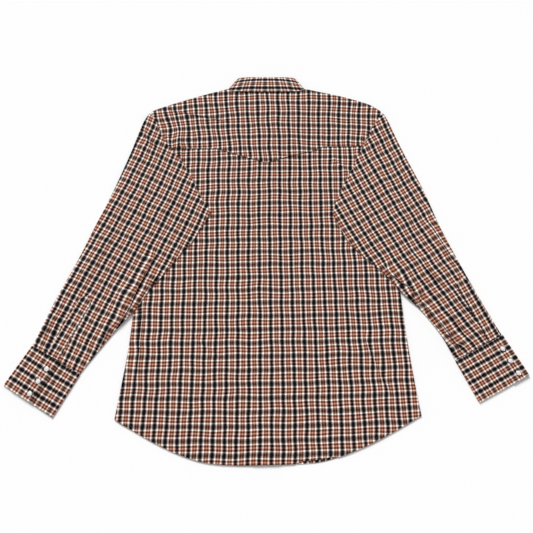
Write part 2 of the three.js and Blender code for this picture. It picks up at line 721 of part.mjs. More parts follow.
function collarLeaf() {
  const grid = collarSections().map(({ fold, edge, foldZ, middleZ, edgeZ }) => {
    const place = (down, z) => new THREE.Vector3(lerp(fold[0], edge[0], down), lerp(fold[1], edge[1], down), z);
    const turn = smooth(2.6, 4.6, foldZ); // the crease turns down to the stand behind the neck only
    const crease = [place(0.015, foldZ - 1.0 * turn), place(-0.012 * turn, foldZ - 0.45 * turn)];
    if (turn < 0.01) crease.splice(0, 2, place(0, foldZ), place(0.02, foldZ));
    const leaf = [0.06, 0.26, 0.5, 0.75, 1].map((down) => {
      const bend = 4 * down * (1 - down);
      return place(down, lerp(foldZ, edgeZ, down) + bend * (middleZ - (foldZ + edgeZ) / 2));
    });
    return [...crease, ...leaf];
  });
  return clothWall(grid, CLOTH);
}

// The stand runs inside the leaf, from the neckline up to the crease. Its ends lap at the front,
// the right one above the left.
function collarStand() {
  const backZ = frontTop(NECK_HALF / 2, NECK_SIDE_Y) + SEAM_GAP + YOKE_CLOTH / 2;
  const lowZ = CLOTH / 2 + LAYER;
  const middle = (backZ + lowZ) / 2;
  const off = SEAM_GAP + 0.2;
  const backNeck = (x) => [x, backTopLine(x) + off];
  const frontNeck = (degrees) => {
    const angle = THREE.MathUtils.degToRad(degrees);
    const clear = 1.1;
    return [(NECK_HALF - clear) * Math.sin(angle), NECK_SIDE_Y - (FRONT_NECK_DROP - clear) * Math.cos(angle)];
  };
  const behind = [
    { neck: backNeck(0), top: [0, 431.2], z: backZ },
    { neck: backNeck(36), top: [32, 431.2], z: backZ },
    { neck: backNeck(62), top: [52, 430.2], z: backZ },
    { neck: [75, NECK_SIDE_Y + off], top: [58.5, 429], z: backZ },
    { neck: [79.5, NECK_SIDE_Y + 1.2], top: [61.5, 427.5], z: lerp(backZ, middle, 0.55) },
    { neck: [80.5, NECK_SIDE_Y + 1.5], top: [62.3, 426.5], z: middle },
    { neck: [80, NECK_SIDE_Y + 1.0], top: [61.5, 425], z: lerp(middle, lowZ, 0.7) },
    { neck: frontNeck(84), top: [58.5, 418], z: lowZ },
    { neck: frontNeck(72), top: [54, 406], z: lowZ },
    { neck: frontNeck(60), top: [47, 391], z: lowZ },
    { neck: frontNeck(48), top: [38, 377], z: lowZ },
    { neck: frontNeck(34), top: [29, 363], z: lowZ },
    { neck: frontNeck(20), top: [21, 354], z: lowZ },
  ];
  const tip = (degrees, z) => {
    const neck = frontNeck(degrees);
    return { neck, top: [neck[0] * 0.8, neck[1] + STAND_FRONT_HEIGHT], z };
  };
  const underTip = [tip(8, lowZ), tip(-9, lowZ)];
  const overTip = [tip(17, lowZ), tip(11, lowZ + LAYER), tip(0, lowZ + LAYER), tip(-9, lowZ + LAYER)];
  const wall = ({ neck, top, z }, sign) =>
    evenly(2).map((rise) => new THREE.Vector3(sign * lerp(neck[0], top[0], rise), lerp(neck[1], top[1], rise), z));
  const left = [...behind.slice(1), ...underTip].reverse().map((section) => wall(section, -1));
  const right = [...behind, ...overTip].map((section) => wall(section, 1));
  return clothWall([...left, ...right], CLOTH);
}

// Finishes
const cloth = new THREE.MeshStandardMaterial({ color: 0x9a7a6c, roughness: 0.9, metalness: 0 });
const pearl = new THREE.MeshStandardMaterial({ color: 0xf1ece2, roughness: 0.25, metalness: 0.1 });

const shirt = new THREE.Group();
function add(name, geometry, material) {
  const mesh = new THREE.Mesh(geometry, material);
  mesh.name = name;
  shirt.add(mesh);
  return mesh;
}

add("front_left", frontLeft(), cloth);
add("front_right", frontRight(), cloth);
add("front_band", frontBand(), cloth);
add("back_body", backBody(), cloth);
add("back_yoke", backYoke(), cloth);
add("collar_leaf", collarLeaf(), cloth);
add("collar_stand", collarStand(), cloth);

for (const [sideName, sleeve] of Object.entries(SLEEVES)) {
  add(`sleeve_${sideName}`, sleeveWall(sleeve), cloth);
  add(`sleeve_placket_${sideName}`, sleevePlacket(sleeve), cloth);
  add(`cuff_${sideName}`, cuffWall(sleeve), cloth);
  cuffSnapPlaces(sleeve).forEach(([x, y], i) => {
    const snap = add(`snap_cuff_${sideName}_${i + 1}`, snapCap(SNAP_HEIGHT, 16), pearl);
    snap.position.set(x, y, CUFF_TOP + SEAM_GAP);
  });
}

[COLLAR_SNAP_Y, ...bandSnapPlaces()].forEach((y, i) => {
  const snap = add(`snap_front_${i}`, snapCap(BAND_SNAP_HEIGHT, 12), pearl);
  snap.rotation.x = Math.PI;
  snap.position.set(0, y, BAND_SNAP_HEIGHT);
});

// Zero is under the middle of the shirt's bounding box.
const bounds = new THREE.Box3().setFromObject(shirt, true);
const centre = bounds.getCenter(new THREE.Vector3());
shirt.children.forEach((mesh) => mesh.position.add(new THREE.Vector3(-centre.x, -centre.y, -bounds.min.z)));

export default shirt;
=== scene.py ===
"""A western snap shirt laid flat with its back up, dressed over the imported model.

The plan is in millimetres, X across the shirt, Y from hem to collar and Z up from the table.
It becomes metres where a mesh is made.
"""

import logging
import math
from collections.abc import Callable, Sequence
from dataclasses import dataclass, field
from enum import Enum

import bmesh
import bpy
import numpy as np
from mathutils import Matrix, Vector


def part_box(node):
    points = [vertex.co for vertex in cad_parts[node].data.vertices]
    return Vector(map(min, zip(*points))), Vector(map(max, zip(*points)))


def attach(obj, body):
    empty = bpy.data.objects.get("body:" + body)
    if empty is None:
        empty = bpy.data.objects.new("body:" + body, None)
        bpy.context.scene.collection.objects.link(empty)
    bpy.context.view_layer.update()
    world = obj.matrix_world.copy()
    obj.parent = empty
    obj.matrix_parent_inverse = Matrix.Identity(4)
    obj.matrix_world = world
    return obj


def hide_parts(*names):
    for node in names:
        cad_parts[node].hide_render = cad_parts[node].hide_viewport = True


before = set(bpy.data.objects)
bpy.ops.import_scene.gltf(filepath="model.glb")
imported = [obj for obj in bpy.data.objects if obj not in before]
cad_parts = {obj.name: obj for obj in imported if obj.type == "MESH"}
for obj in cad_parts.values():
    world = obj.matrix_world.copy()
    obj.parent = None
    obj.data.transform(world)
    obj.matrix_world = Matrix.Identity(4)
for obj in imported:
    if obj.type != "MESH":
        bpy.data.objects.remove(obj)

LOG = logging.getLogger("shirt")
MM = 0.001
PLAN_ZERO = np.array([-0.876, 1.253, 0.0])  # where the plan's zero lies in the model
SEAM_GAP = 0.3
SHEET = 0.6  # one thickness of shirting as it shows
DRAWN_REACH = 14  # millimetres over which a leaning crest draws cloth in
DRAWN_SHARE = 0.8  # of the cloth hidden under it, drawn in from each side
Place = tuple[float, float]
Number = float | np.ndarray
Line = Callable[[Number], Number]


def lerp(a: Number, b: Number, t: Number) -> Number:
    """The value a share t of the way from a to b."""
    return a + (b - a) * t


def smooth(low: float, high: float, x: np.ndarray | float) -> np.ndarray:
    """0 below low, 1 above high, and a smooth step between them."""
    t = np.clip((np.asarray(x, float) - low) / (high - low), 0.0, 1.0)
    return t * t * (3.0 - 2.0 * t)


def run_of(steps: np.ndarray) -> np.ndarray:
    """The running sum of steps along the last axis, with a 0 before it."""
    return np.insert(np.cumsum(steps, axis=-1), 0, 0.0, axis=-1)


def through(points: np.ndarray, t: np.ndarray) -> np.ndarray:
    """Reads the smooth curve through a row of places.

    Args:
        points: the row, along the first axis.
        t: where to read the curve, in steps of the row.

    Returns:
        The curve's places, along the first axis.
    """
    last = len(points) - 1
    i = np.clip(t.astype(int), 0, last - 1)
    f = (t - i).reshape((-1,) + (1,) * (points.ndim - 1))
    p1, p2 = points[i], points[i + 1]
    v0 = (p2 - points[np.maximum(i - 1, 0)]) / 2
    v1 = (points[np.minimum(i + 2, last)] - p1) / 2
    cubed = (2 * p1 - 2 * p2 + v0 + v1) * f**3
    squared = (-3 * p1 + 3 * p2 - 2 * v0 - v1) * f**2
    return cubed + squared + v0 * f + p1


class Held(Enum):
    """How a sheet of cloth is held."""

    LAID = "laid"
    FOLDED = "folded"


class Slot(Enum):
    """The record's material slots."""

    PLAID = "plaid_cotton"
    PEARL = "pearl_snap"
    RIM = "snap_rim"


# Numbers of the plan


@dataclass(frozen=True)
class SmoothLine:
    """A smooth line through a short table of places, sorted by the first number."""

    table: tuple[Place, ...]

    def at(self, x: np.ndarray | float) -> np.ndarray:
        """Reads the line.

        Args:
            x: places along the table's first column.

        Returns:
            The second column at those places.
        """
        rows = sorted(self.table)
        xs = np.array([row[0] for row in rows], float)
        ys = np.array([row[1] for row in rows], float)
        last = len(xs) - 1
        slope = np.empty_like(ys)
        slope[1:-1] = (ys[2:] - ys[:-2]) / (xs[2:] - xs[:-2])
        slope[0] = (ys[1] - ys[0]) / (xs[1] - xs[0])
        slope[-1] = (ys[-1] - ys[-2]) / (xs[-1] - xs[-2])
        place = np.clip(np.asarray(x, float), xs[0], xs[last])
        i = np.clip(np.searchsorted(xs, place, side="right") - 1, 0, last - 1)
        width = xs[i + 1] - xs[i]
        t = (place - xs[i]) / width
        t2, t3 = t * t, t * t * t
        return (
            (2 * t3 - 3 * t2 + 1) * ys[i]
            + (t3 - 2 * t2 + t) * width * slope[i]
            + (3 * t2 - 2 * t3) * ys[i + 1]
            + (t3 - t2) * width * slope[i + 1]
        )


@dataclass(frozen=True)
class PlanCurve:
    """A smooth curve through places of the plan, read at an even share of its length."""

    places: tuple[Place, ...]

    def at(self, share: np.ndarray | float) -> np.ndarray:
        """The places at shares of the curve's length.

        Args:
            share: shares of the length.

        Returns:
            The places.
        """
        points = np.array(self.places, float)
        line = through(points, np.linspace(0, len(points) - 1, 401))
        length = run_of(np.hypot(*np.diff(line, axis=0).T))
        want = np.clip(np.asarray(share, float), 0, 1) * length[-1]
        return np.stack([np.interp(want, length, line[:, k]) for k in (0, 1)], axis=-1)


@dataclass(frozen=True)
class Crease:
    """A fold line in cloth, soft on one side and steep on the other."""

    path: tuple[Place, ...]
    soft: float  # millimetres over which it dies away on its soft side
    steep: float  # and on its steep one: the path's left, or its right where negative
    height: float  # sunk where negative
    lean: float = 0.0  # how far its crest hangs over the steep side, per height
    fade: float = 0.25  # share of its length over which each end dies away

    def at(self, x: np.ndarray, y: np.ndarray) -> np.ndarray:
        """What the crease does to places of the plan.

        Args:
            x: the places' X.
            y: their Y.

        Returns:
            How far each place moves along X, Y and Z, and how far cloth is drawn in there
            along X and Y.
        """
        points = np.array(self.path, float)
        steps = np.hypot(*np.diff(points, axis=0).T)
        nearest = np.full(np.shape(x), np.inf)
        share, side = np.zeros(np.shape(x)), np.zeros(np.shape(x))
        normal = np.zeros((*np.shape(x), 2))
        gone = 0.0
        for start, end, step in zip(points[:-1], points[1:], steps):
            way = (end - start) / step
            held = np.clip((x - start[0]) * way[0] + (y - start[1]) * way[1], 0, step)
            dx = x - start[0] - held * way[0]
            dy = y - start[1] - held * way[1]
            apart = np.hypot(dx, dy)
            closer = apart < nearest
            nearest = np.where(closer, apart, nearest)
            share = np.where(closer, (gone + held) / steps.sum(), share)
            side = np.where(closer, np.sign(way[0] * dy - way[1] * dx), side)
            normal = np.where(closer[..., None], np.array([-way[1], way[0]]), normal)
            gone += step
        turn = math.copysign(1.0, self.steep)
        reach = np.where(side * turn > 0, abs(self.steep), self.soft)
        ends = smooth(0, self.fade, share) * (1 - smooth(1 - self.fade, 1, share))
        rise = self.height * ends * np.exp(-((nearest / reach) ** 2))
        drift = (turn * self.lean * np.abs(rise))[..., None] * normal
        hidden = ends * abs(self.height) * self.lean * np.exp(-((nearest / DRAWN_REACH) ** 2))
        drawn = (-DRAWN_SHARE * side * hidden)[..., None] * normal
        return np.concatenate([drift, rise[..., None], drawn], -1)


@dataclass(frozen=True)
class Ridge:
    """One of the shirt's broad raised folds."""

    start: Place
    end: Place
    width: float
    height: float

    def at(self, x: np.ndarray, y: np.ndarray) -> np.ndarray:
        """The ridge's height over places of the plan.

        Args:
            x: the places' X.
            y: their Y.

        Returns:
            The height at each.
        """
        dx, dy = self.end[0] - self.start[0], self.end[1] - self.start[1]
        length = math.hypot(dx, dy)
        along = ((x - self.start[0]) * dx + (y - self.start[1]) * dy) / length
        across = ((x - self.start[0]) * dy - (y - self.start[1]) * dx) / length
        fade = min(0.3 * length, 40)
        ends = smooth(-fade, fade, along) * (
            1 - smooth(length - fade, length + fade, along)
        )
        return self.height * ends * np.exp(-((across / self.width) ** 2))


@dataclass(frozen=True)
class Drift:
    """The slow unevenness of cloth that was folded, pressed and laid out."""

    seed: int
    wave: float  # usual length of a wave
    height: float
    waves: int = 9

    def at(self, x: np.ndarray, y: np.ndarray) -> np.ndarray:
        """The rise and fall over places of the plan.

        Args:
            x: the places' X.
            y: their Y.

        Returns:
            The height at each.
        """
        dice = np.random.RandomState(self.seed)
        total = np.zeros(np.shape(x))
        for _ in range(self.waves):
            turn = dice.uniform(0, math.tau)
            wave = self.wave * dice.uniform(0.6, 1.7)
            phase = dice.uniform(0, math.tau)
            ahead = x * math.cos(turn) + y * math.sin(turn)
            total += np.sin(math.tau * ahead / wave + phase)
        return self.height * total / math.sqrt(self.waves)


def height_of(folds: Sequence[Ridge | Drift], x: np.ndarray, y: np.ndarray) -> np.ndarray:
    """The summed height of folds over places of the plan."""
    return sum((fold.at(x, y) for fold in folds), np.zeros(np.shape(x)))


def creased(creases: Sequence[Crease], x: np.ndarray, y: np.ndarray) -> np.ndarray:
    """What creases together do to places of the plan, in the columns of Crease.at."""
    return sum((crease.at(x, y) for crease in creases), np.zeros((*np.shape(x), 5)))


# The plaid's lie on each panel


@dataclass(frozen=True)
class BowedStripes:
    """Parallel stripes across a panel, with the slow bow and spread that the cloth shows."""

    turn: float  # degrees
    crosses: bool  # counted along the turned Y axis instead of X
    middle: Place
    first: float
    bow: tuple[tuple[int, int, float], ...]  # power across, power along, millimetres

    def at(self, x: np.ndarray, y: np.ndarray) -> np.ndarray:
        """Millimetres of cloth from a dark stripe's middle.

        Args:
            x: the places' X in the model.
            y: their Y.

        Returns:
            The millimetres at each.
        """
        c, s = math.cos(math.radians(self.turn)), math.sin(math.radians(self.turn))
        across, along = x * c + y * s, y * c - x * s
        a, b = (across - self.middle[0]) / 100, (along - self.middle[1]) / 100
        total = (b if self.crosses else a) * 100 - self.first
        for power_a, power_b, size in self.bow:
            total = total + size * a**power_a * b**power_b
        return total


@dataclass(frozen=True)
class StraightStripes:
    """Parallel stripes with no bow: so much per millimetre of X and of Y, and a start."""

    per_x: float
    per_y: float
    start: float

    def at(self, x: np.ndarray, y: np.ndarray) -> np.ndarray:
        """Millimetres of cloth from a dark stripe's middle."""
        return self.per_x * x + self.per_y * y + self.start


Stripes = BowedStripes | StraightStripes
WARP_REPEAT = 22.7
WEFT_REPEAT = 28.08


@dataclass(frozen=True)
class Bulge:
    """A place where the cloth, and the plaid with it, is pushed along."""

    middle: Place
    reach: float
    push: Place  # millimetres along X and Y

    def at(self, x: np.ndarray, y: np.ndarray) -> np.ndarray:
        """How far cloth at these places was pushed."""
        apart = np.hypot(x - self.middle[0], y - self.middle[1]) / self.reach
        return np.exp(-(apart**2))[..., None] * np.array(self.push)


@dataclass(frozen=True)
class Plaid:
    """Where the two sets of stripes lie on one panel."""

    warp: Stripes
    weft: Stripes
    bulges: tuple[Bulge, ...] = ()
    unrest: tuple[Drift, ...] = ()  # slow wandering of the threads, along X and Y

    def at(self, plan: np.ndarray) -> np.ndarray:
        """Plaid places, in repeats, for places of the plan.

        Args:
            plan: the places.

        Returns:
            Repeats across and along, at each.
        """
        x, y = plan[..., 0], plan[..., 1]
        push = sum((bulge.at(x, y) for bulge in self.bulges), np.zeros((*x.shape, 2)))
        for axis, drift in enumerate(self.unrest):
            push[..., axis] += drift.at(x, y)
        x, y = x - push[..., 0] + PLAN_ZERO[0], y - push[..., 1] + PLAN_ZERO[1]
        return np.stack(
            [self.warp.at(x, y) / WARP_REPEAT, self.weft.at(x, y) / WEFT_REPEAT],
            axis=-1,
        )


BACK_PLAID = Plaid(
    BowedStripes(
        0,
        False,
        (4.1, -139.6),
        3.88,
        (
            (1, 0, 1.33), (0, 1, 1.31), (1, 1, 0.39), (0, 2, 0.13), (0, 3, -0.09),
            (2, 0, 0.19), (1, 2, -0.08),
        ),
    ),
    BowedStripes(
        0,
        True,
        (4.1, -139.6),
        1.26,
        (
            (1, 0, -1.55), (0, 1, -0.13), (2, 0, -0.09), (1, 1, 0.03), (0, 2, -0.23),
            (1, 2, -0.04), (2, 1, 0.25), (0, 3, 0.08),
        ),
    ),
    unrest=(Drift(41, 60, 0.6), Drift(42, 70, 0.6)),
)
YOKE_PLAID = Plaid(
    BowedStripes(
        0,
        False,
        (-0.1, 311.2),
        3.48,
        ((1, 0, -0.11), (0, 1, 3.72), (2, 0, 0.31), (1, 1, -5.19), (0, 2, -0.98)),
    ),
    BowedStripes(
        0,
        True,
        (-0.1, 311.2),
        23.86,
        ((0, 1, -3.35), (1, 0, -1.75), (2, 0, 1.83), (1, 1, -0.73), (0, 2, -0.14), (2, 1, -0.38)),
    ),
    (
        Bulge((-213, 292), 26, (7, 1)),
        Bulge((-188, 262), 22, (-3, 1)),
        Bulge((-150, 285), 26, (2, 1)),
    ),
    (Drift(31, 60, 0.8), Drift(32, 70, 0.8)),
)
FRONT_PLAID = Plaid(StraightStripes(1.0, 0.0, -5.0), StraightStripes(0.0, 1.0, 144.0))
LEFT_SLEEVE_PLAID = Plaid(
    BowedStripes(
        -25.4,
        False,
        (-272.3, -105.0),
        21.25,
        ((1, 0, -1.49), (0, 1, 0.27), (1, 1, 0.72), (0, 2, 0.74), (0, 3, 0.66)),
    ),
    BowedStripes(
        -27,
        True,
        (-269.3, -112.6),
        10.75,
        ((0, 1, 0.66), (1, 0, -0.03), (2, 0, 0.08), (1, 1, 0.6), (0, 2, -0.33)),
    ),
    unrest=(Drift(51, 60, 0.6), Drift(52, 70, 0.6)),
)
RIGHT_SLEEVE_PLAID = Plaid(
    BowedStripes(
        28,
        False,
        (281.2, -107.0),
        13.21,
        ((1, 0, 2.1), (0, 1, 2.09), (1, 1, -2.83), (0, 2, -2.44)),
    ),
    BowedStripes(
        30.5,
        True,
        (276.3, -119.1),
        22.31,
        ((0, 1, 1.12), (1, 0, -0.47), (2, 0, -0.95), (1, 1, -0.11), (0, 2, -0.56), (0, 3, 0.15)),
    ),
    unrest=(Drift(61, 60, 0.6), Drift(62, 70, 0.6)),
)
LEFT_CUFF_PLAID = Plaid(
    StraightStripes(-0.4635, -0.8306, -414.06),
    StraightStripes(0.9643, -0.5372, 260.69),
)
LEFT_FLAP_PLAID = Plaid(
    StraightStripes(-0.4896, -0.8078, -418.45), StraightStripes(0.9065, -0.529, 310.73)
)
RIGHT_CUFF_PLAID = Plaid(
    StraightStripes(0.4626, -0.8606, -401.2), StraightStripes(1.0034, 0.5572, -260.48)
)


# Shader maths


class Graph:
    """One material's nodes, added by type."""

    def __init__(self, name: str) -> None:
        """Starts an empty material.

        Args:
            name: the material's name.
        """
        self.material = bpy.data.materials.new(name)
        self.material.use_nodes = True
        self.nodes = self.material.node_tree.nodes
        self.links = self.material.node_tree.links
        self.nodes.clear()

    def node(
        self, kind: str, settings: dict | None = None, sockets: dict | None = None
    ) -> bpy.types.Node:
        """Adds a node.

        Args:
            kind: the node's type.
            settings: properties set first; "stops" fills a colour ramp.
            sockets: values or links by input name or number.

        Returns:
            The new node.
        """
        node = self.nodes.new(kind)
        for key, value in (settings or {}).items():
            if key == "stops":
                ramp = node.color_ramp.elements
                while len(ramp) > 1:
                    ramp.remove(ramp[-1])
                ramp[0].position, ramp[0].color = value[0]
                for position, color in value[1:]:
                    ramp.new(position).color = color
            else:
                setattr(node, key, value)
        for key, value in (sockets or {}).items():
            socket = node.inputs[key]
            if isinstance(value, Wire):
                self.links.new(value.socket, socket)
            elif isinstance(value, bpy.types.NodeSocket):
                self.links.new(value, socket)
            else:
                socket.default_value = value
        return node

    def wire(self, kind: str, settings: dict, sockets: dict, out: str) -> "Wire":
        """Adds a node and returns one of its outputs for arithmetic."""
        return Wire(self, self.node(kind, settings, sockets).outputs[out])

    def noise(self, scale: float, detail: float, more: dict | None = None) -> "Wire":
        """Adds noise that lies on the object itself.

        Args:
            scale: waves in a metre.
            detail: how many times it is repeated at a finer scale.
            more: values of other inputs, by name.

        Returns:
            The noise, about 0 to 1.
        """
        place = self.node("ShaderNodeTexCoord").outputs["Object"]
        sockets = {"Vector": place, "Scale": scale, "Detail": detail, **(more or {})}
        return self.wire("ShaderNodeTexNoise", {}, sockets, "Fac")

    def surface(self, sockets: dict) -> bpy.types.Material:
        """Gives the material its surface.

        Args:
            sockets: the surface's values or links, by input name.

        Returns:
            The finished material.
        """
        shader = self.node("ShaderNodeBsdfPrincipled", {}, sockets)
        self.node("ShaderNodeOutputMaterial", {}, {"Surface": shader.outputs["BSDF"]})
        return self.material


class Wire:
    """A value in a material that can be written in arithmetic."""

    def __init__(self, graph: Graph, socket: bpy.types.NodeSocket) -> None:
        """Wraps a socket.

        Args:
            graph: the material's nodes.
            socket: the output that gives the value.
        """
        self.graph = graph
        self.socket = socket

    def _math(self, operation: str, *values: "Wire | float") -> "Wire":
        """Adds a Math node on these values.

        Args:
            operation: what it does.
            values: its inputs in order.

        Returns:
            Its result.
        """
        return self.graph.wire(
            "ShaderNodeMath",
            {"operation": operation},
            dict(enumerate(values)),
            "Value",
        )

    def __add__(self, other: "Wire | float") -> "Wire":
        """self + other."""
        return self._math("ADD", self, other)

    __radd__ = __add__

    def __sub__(self, other: "Wire | float") -> "Wire":
        """self - other."""
        return self._math("SUBTRACT", self, other)

    def __rsub__(self, other: float) -> "Wire":
        """other - self."""
        return self._math("SUBTRACT", other, self)

    def __mul__(self, other: "Wire | float") -> "Wire":
        """self * other."""
        return self._math("MULTIPLY", self, other)

    __rmul__ = __mul__

    def __abs__(self) -> "Wire":
        """The size of self without its sign."""
        return self._math("ABSOLUTE", self)

    def fraction(self) -> "Wire":
        """The part after the decimal point."""
        return self._math("FRACT", self)

    def sine(self) -> "Wire":
        """The sine of self."""
        return self._math("SINE", self)

    def held(self) -> "Wire":
        """self kept between 0 and 1.

        Returns:
            The value.
        """
        return self.graph.wire(
            "ShaderNodeClamp", {}, {"Value": self, "Min": 0.0, "Max": 1.0}, "Result"
        )


Colour = tuple[float, float, float]


@dataclass(frozen=True)
class Stripe:
    """One stripe of a half repeat, from the dark stripe's middle outwards."""

    until: float  # millimetres from the middle of the dark stripe
    colour: Colour  # as it shows, 0 to 1


WARP_STRIPES = (
    Stripe(2.38, (0.010, 0.010, 0.014)),
    Stripe(4.3, (0.50, 0.46, 0.46)),
    Stripe(7.0, (0.95, 0.90, 0.86)),
    Stripe(10.7, (0.49, 0.355, 0.30)),
    Stripe(11.35, (0.78, 0.59, 0.53)),
)
WEFT_STRIPES = (
    Stripe(2.6, (0.010, 0.010, 0.014)),
    Stripe(5.3, (0.37, 0.305, 0.293)),
    Stripe(8.45, (1.0, 0.97, 0.95)),
    Stripe(12.5, (0.25, 0.115, 0.055)),
    Stripe(14.04, (0.84, 0.63, 0.57)),
)


@dataclass(frozen=True)
class PlaidCotton:
    """Yarn-dyed cotton shirting: a warp and a weft of coloured stripes in a plain weave."""

    name: str = "plaid_cotton"
    weft_share: float = 0.38  # how much of the colour the weft gives
    thread: float = 0.42  # millimetres from thread to thread
    blur: float = 0.35  # millimetres over which neighbouring threads mix
    roughness: float = 0.82
    sheen: float = 0.02
    grain: float = 0.05  # how far threads differ in lightness
    contrast: float = 0.28
    lighter: float = -0.021
    stray: float = 0.9  # millimetres by which the edge of a stripe wanders
    weave_share: float = 0.2  # how far one thread over another changes the mix
    weave_rise: float = 0.02  # millimetres by which threads stand up
    crumple_rise: float = 0.30  # and by which the cloth is crumpled

    def stripes(
        self, graph: Graph, apart: Wire, half: float, table: Sequence[Stripe]
    ) -> bpy.types.NodeSocket:
        """A colour that changes stripe by stripe.

        Args:
            graph: the material's nodes.
            apart: millimetres from the dark stripe's middle.
            half: millimetres in half a repeat.
            table: the stripes from the middle outwards.

        Returns:
            The colour, as it shows.
        """
        stops = [(0.0, (*table[0].colour, 1.0))]
        for stripe, following in zip(table[:-1], table[1:]):
            stops.append(((stripe.until - self.blur) / half, (*stripe.colour, 1.0)))
            stops.append(((stripe.until + self.blur) / half, (*following.colour, 1.0)))
        ramp = graph.node(
            "ShaderNodeValToRGB", {"stops": stops}, {"Fac": apart * (1 / half)}
        )
        return ramp.outputs["Color"]

    def mix(
        self, graph: Graph, factor: Wire | float, a: object, b: object, how: str = "MIX"
    ) -> bpy.types.NodeSocket:
        """Blends two colours and returns the blend.

        Args:
            graph: the material's nodes.
            factor: the share of the second colour.
            a: the first colour.
            b: the second.
            how: the kind of blend.

        Returns:
            The blended colour.
        """
        node = graph.node(
            "ShaderNodeMix",
            {"data_type": "RGBA", "blend_type": how, "clamp_result": True},
            {0: factor, 6: a, 7: b},
        )
        return node.outputs[2]

    def build(self) -> bpy.types.Material:
        """Makes the material, on the piece's plaid map.

        Returns:
            The material.
        """
        graph = Graph(self.name)
        chart = graph.node("ShaderNodeUVMap", {"uv_map": "plaid"})
        parts = graph.node("ShaderNodeSeparateXYZ", {}, {0: chart.outputs["UV"]})
        across, along = Wire(graph, parts.outputs["X"]), Wire(graph, parts.outputs["Y"])
        stray = (graph.noise(260.0, 2.0) - 0.5) * self.stray
        warp_mm = abs((across + 0.5).fraction() - 0.5) * WARP_REPEAT + stray
        weft_mm = abs((along + 0.5).fraction() - 0.5) * WEFT_REPEAT + stray
        warp = self.stripes(graph, warp_mm, WARP_REPEAT / 2, WARP_STRIPES)
        weft = self.stripes(graph, weft_mm, WEFT_REPEAT / 2, WEFT_STRIPES)
        over = (across * (math.tau * WARP_REPEAT / self.thread / 2)).sine()
        under = (along * (math.tau * WEFT_REPEAT / self.thread / 2)).sine()
        weave = over * under
        share = (self.weft_share + weave * self.weave_share).held()
        blend = self.mix(graph, share, warp, weft)
        shown = graph.node(
            "ShaderNodeBrightContrast",
            {},
            {"Color": blend, "Bright": self.lighter, "Contrast": self.contrast},
        ).outputs["Color"]
        uneven = graph.noise(900.0, 3.0)
        light = (uneven - 0.5) * (2 * self.grain) + 1.0
        tint = graph.node("ShaderNodeCombineColor", {}, {0: light, 1: light, 2: light}).outputs[0]
        shown = self.mix(graph, 1.0, shown, tint, "MULTIPLY")
        colour = graph.node("ShaderNodeGamma", {}, {0: shown, 1: 2.2}).outputs[0]
        crumple = graph.noise(55.0, 4.0, {"Roughness": 0.55})
        rise = weave * self.weave_rise + crumple * self.crumple_rise + uneven * self.weave_rise
        bump = graph.node("ShaderNodeBump", {}, {"Strength": 0.9, "Distance": MM, "Height": rise})
        return graph.surface(
            {
                "Base Color": colour,
                "Roughness": self.roughness + (uneven - 0.5) * 0.12,
                "Normal": bump.outputs["Normal"],
                "Sheen Weight": self.sheen,
                "Sheen Roughness": 0.5,
                "Specular IOR Level": 0.1,
            }
        )


@dataclass(frozen=True)
class Thread:
    """Spun sewing thread."""

    name: str
    colour: Colour
    roughness: float = 0.7

    def build(self) -> bpy.types.Material:
        """Makes the material.

        Returns:
            The material.
        """
        graph = Graph(self.name)
        ply = graph.noise(2400.0, 1.0)
        dark = tuple(0.72 * c for c in self.colour)
        colour = graph.node(
            "ShaderNodeValToRGB",
            {"stops": [(0.3, (*dark, 1.0)), (0.7, (*self.colour, 1.0))]},
            {"Fac": ply},
        ).outputs["Color"]
        bump = graph.node("ShaderNodeBump", {}, {"Distance": 0.05 * MM, "Height": ply})
        return graph.surface(
            {
                "Base Color": colour,
                "Roughness": self.roughness,
                "Normal": bump.outputs["Normal"],
            }
        )


@dataclass(frozen=True)
class Pearl:
    """The pearly face of a snap."""

    name: str = "pearl_snap"
    light: Colour = (0.93, 0.90, 0.87)
    shade: Colour = (0.60, 0.55, 0.53)

    def build(self) -> bpy.types.Material:
        """Makes the material.

        Returns:
            The material.
        """
        graph = Graph(self.name)
        swirl = graph.noise(260.0, 3.0, {"Distortion": 2.5})
        colour = graph.node(
            "ShaderNodeValToRGB",
            {"stops": [(0.36, (*self.shade, 1.0)), (0.56, (*self.light, 1.0))]},
            {"Fac": swirl},
        ).outputs["Color"]
        return graph.surface(
            {
                "Base Color": colour,
                "Roughness": 0.16 + swirl * 0.12,
                "Coat Weight": 0.6,
                "Coat Roughness": 0.08,
                "Specular IOR Level": 0.6,
            }
        )


@dataclass(frozen=True)
class SnapMetal:
    """The plated ring round a snap."""

    name: str = "snap_rim"
    colour: Colour = (0.46, 0.44, 0.41)

    def build(self) -> bpy.types.Material:
        """Makes the material.

        Returns:
            The material.
        """
        graph = Graph(self.name)
        roughness = 0.22 + graph.noise(1500.0, 4.0) * 0.2
        return graph.surface(
            {"Base Color": (*self.colour, 1.0), "Metallic": 1.0, "Roughness": roughness}
        )


@dataclass(frozen=True)
class Finishes:
    """Every finish of the shirt, made once."""

    cotton: bpy.types.Material = field(default_factory=lambda: PlaidCotton().build())
    thread: bpy.types.Material = field(
        default_factory=lambda: Thread("topstitch_thread", (0.16, 0.085, 0.06)).build()
    )
    pearl: bpy.types.Material = field(default_factory=lambda: Pearl().build())
    rim: bpy.types.Material = field(default_factory=lambda: SnapMetal().build())


# Cloth in mesh code


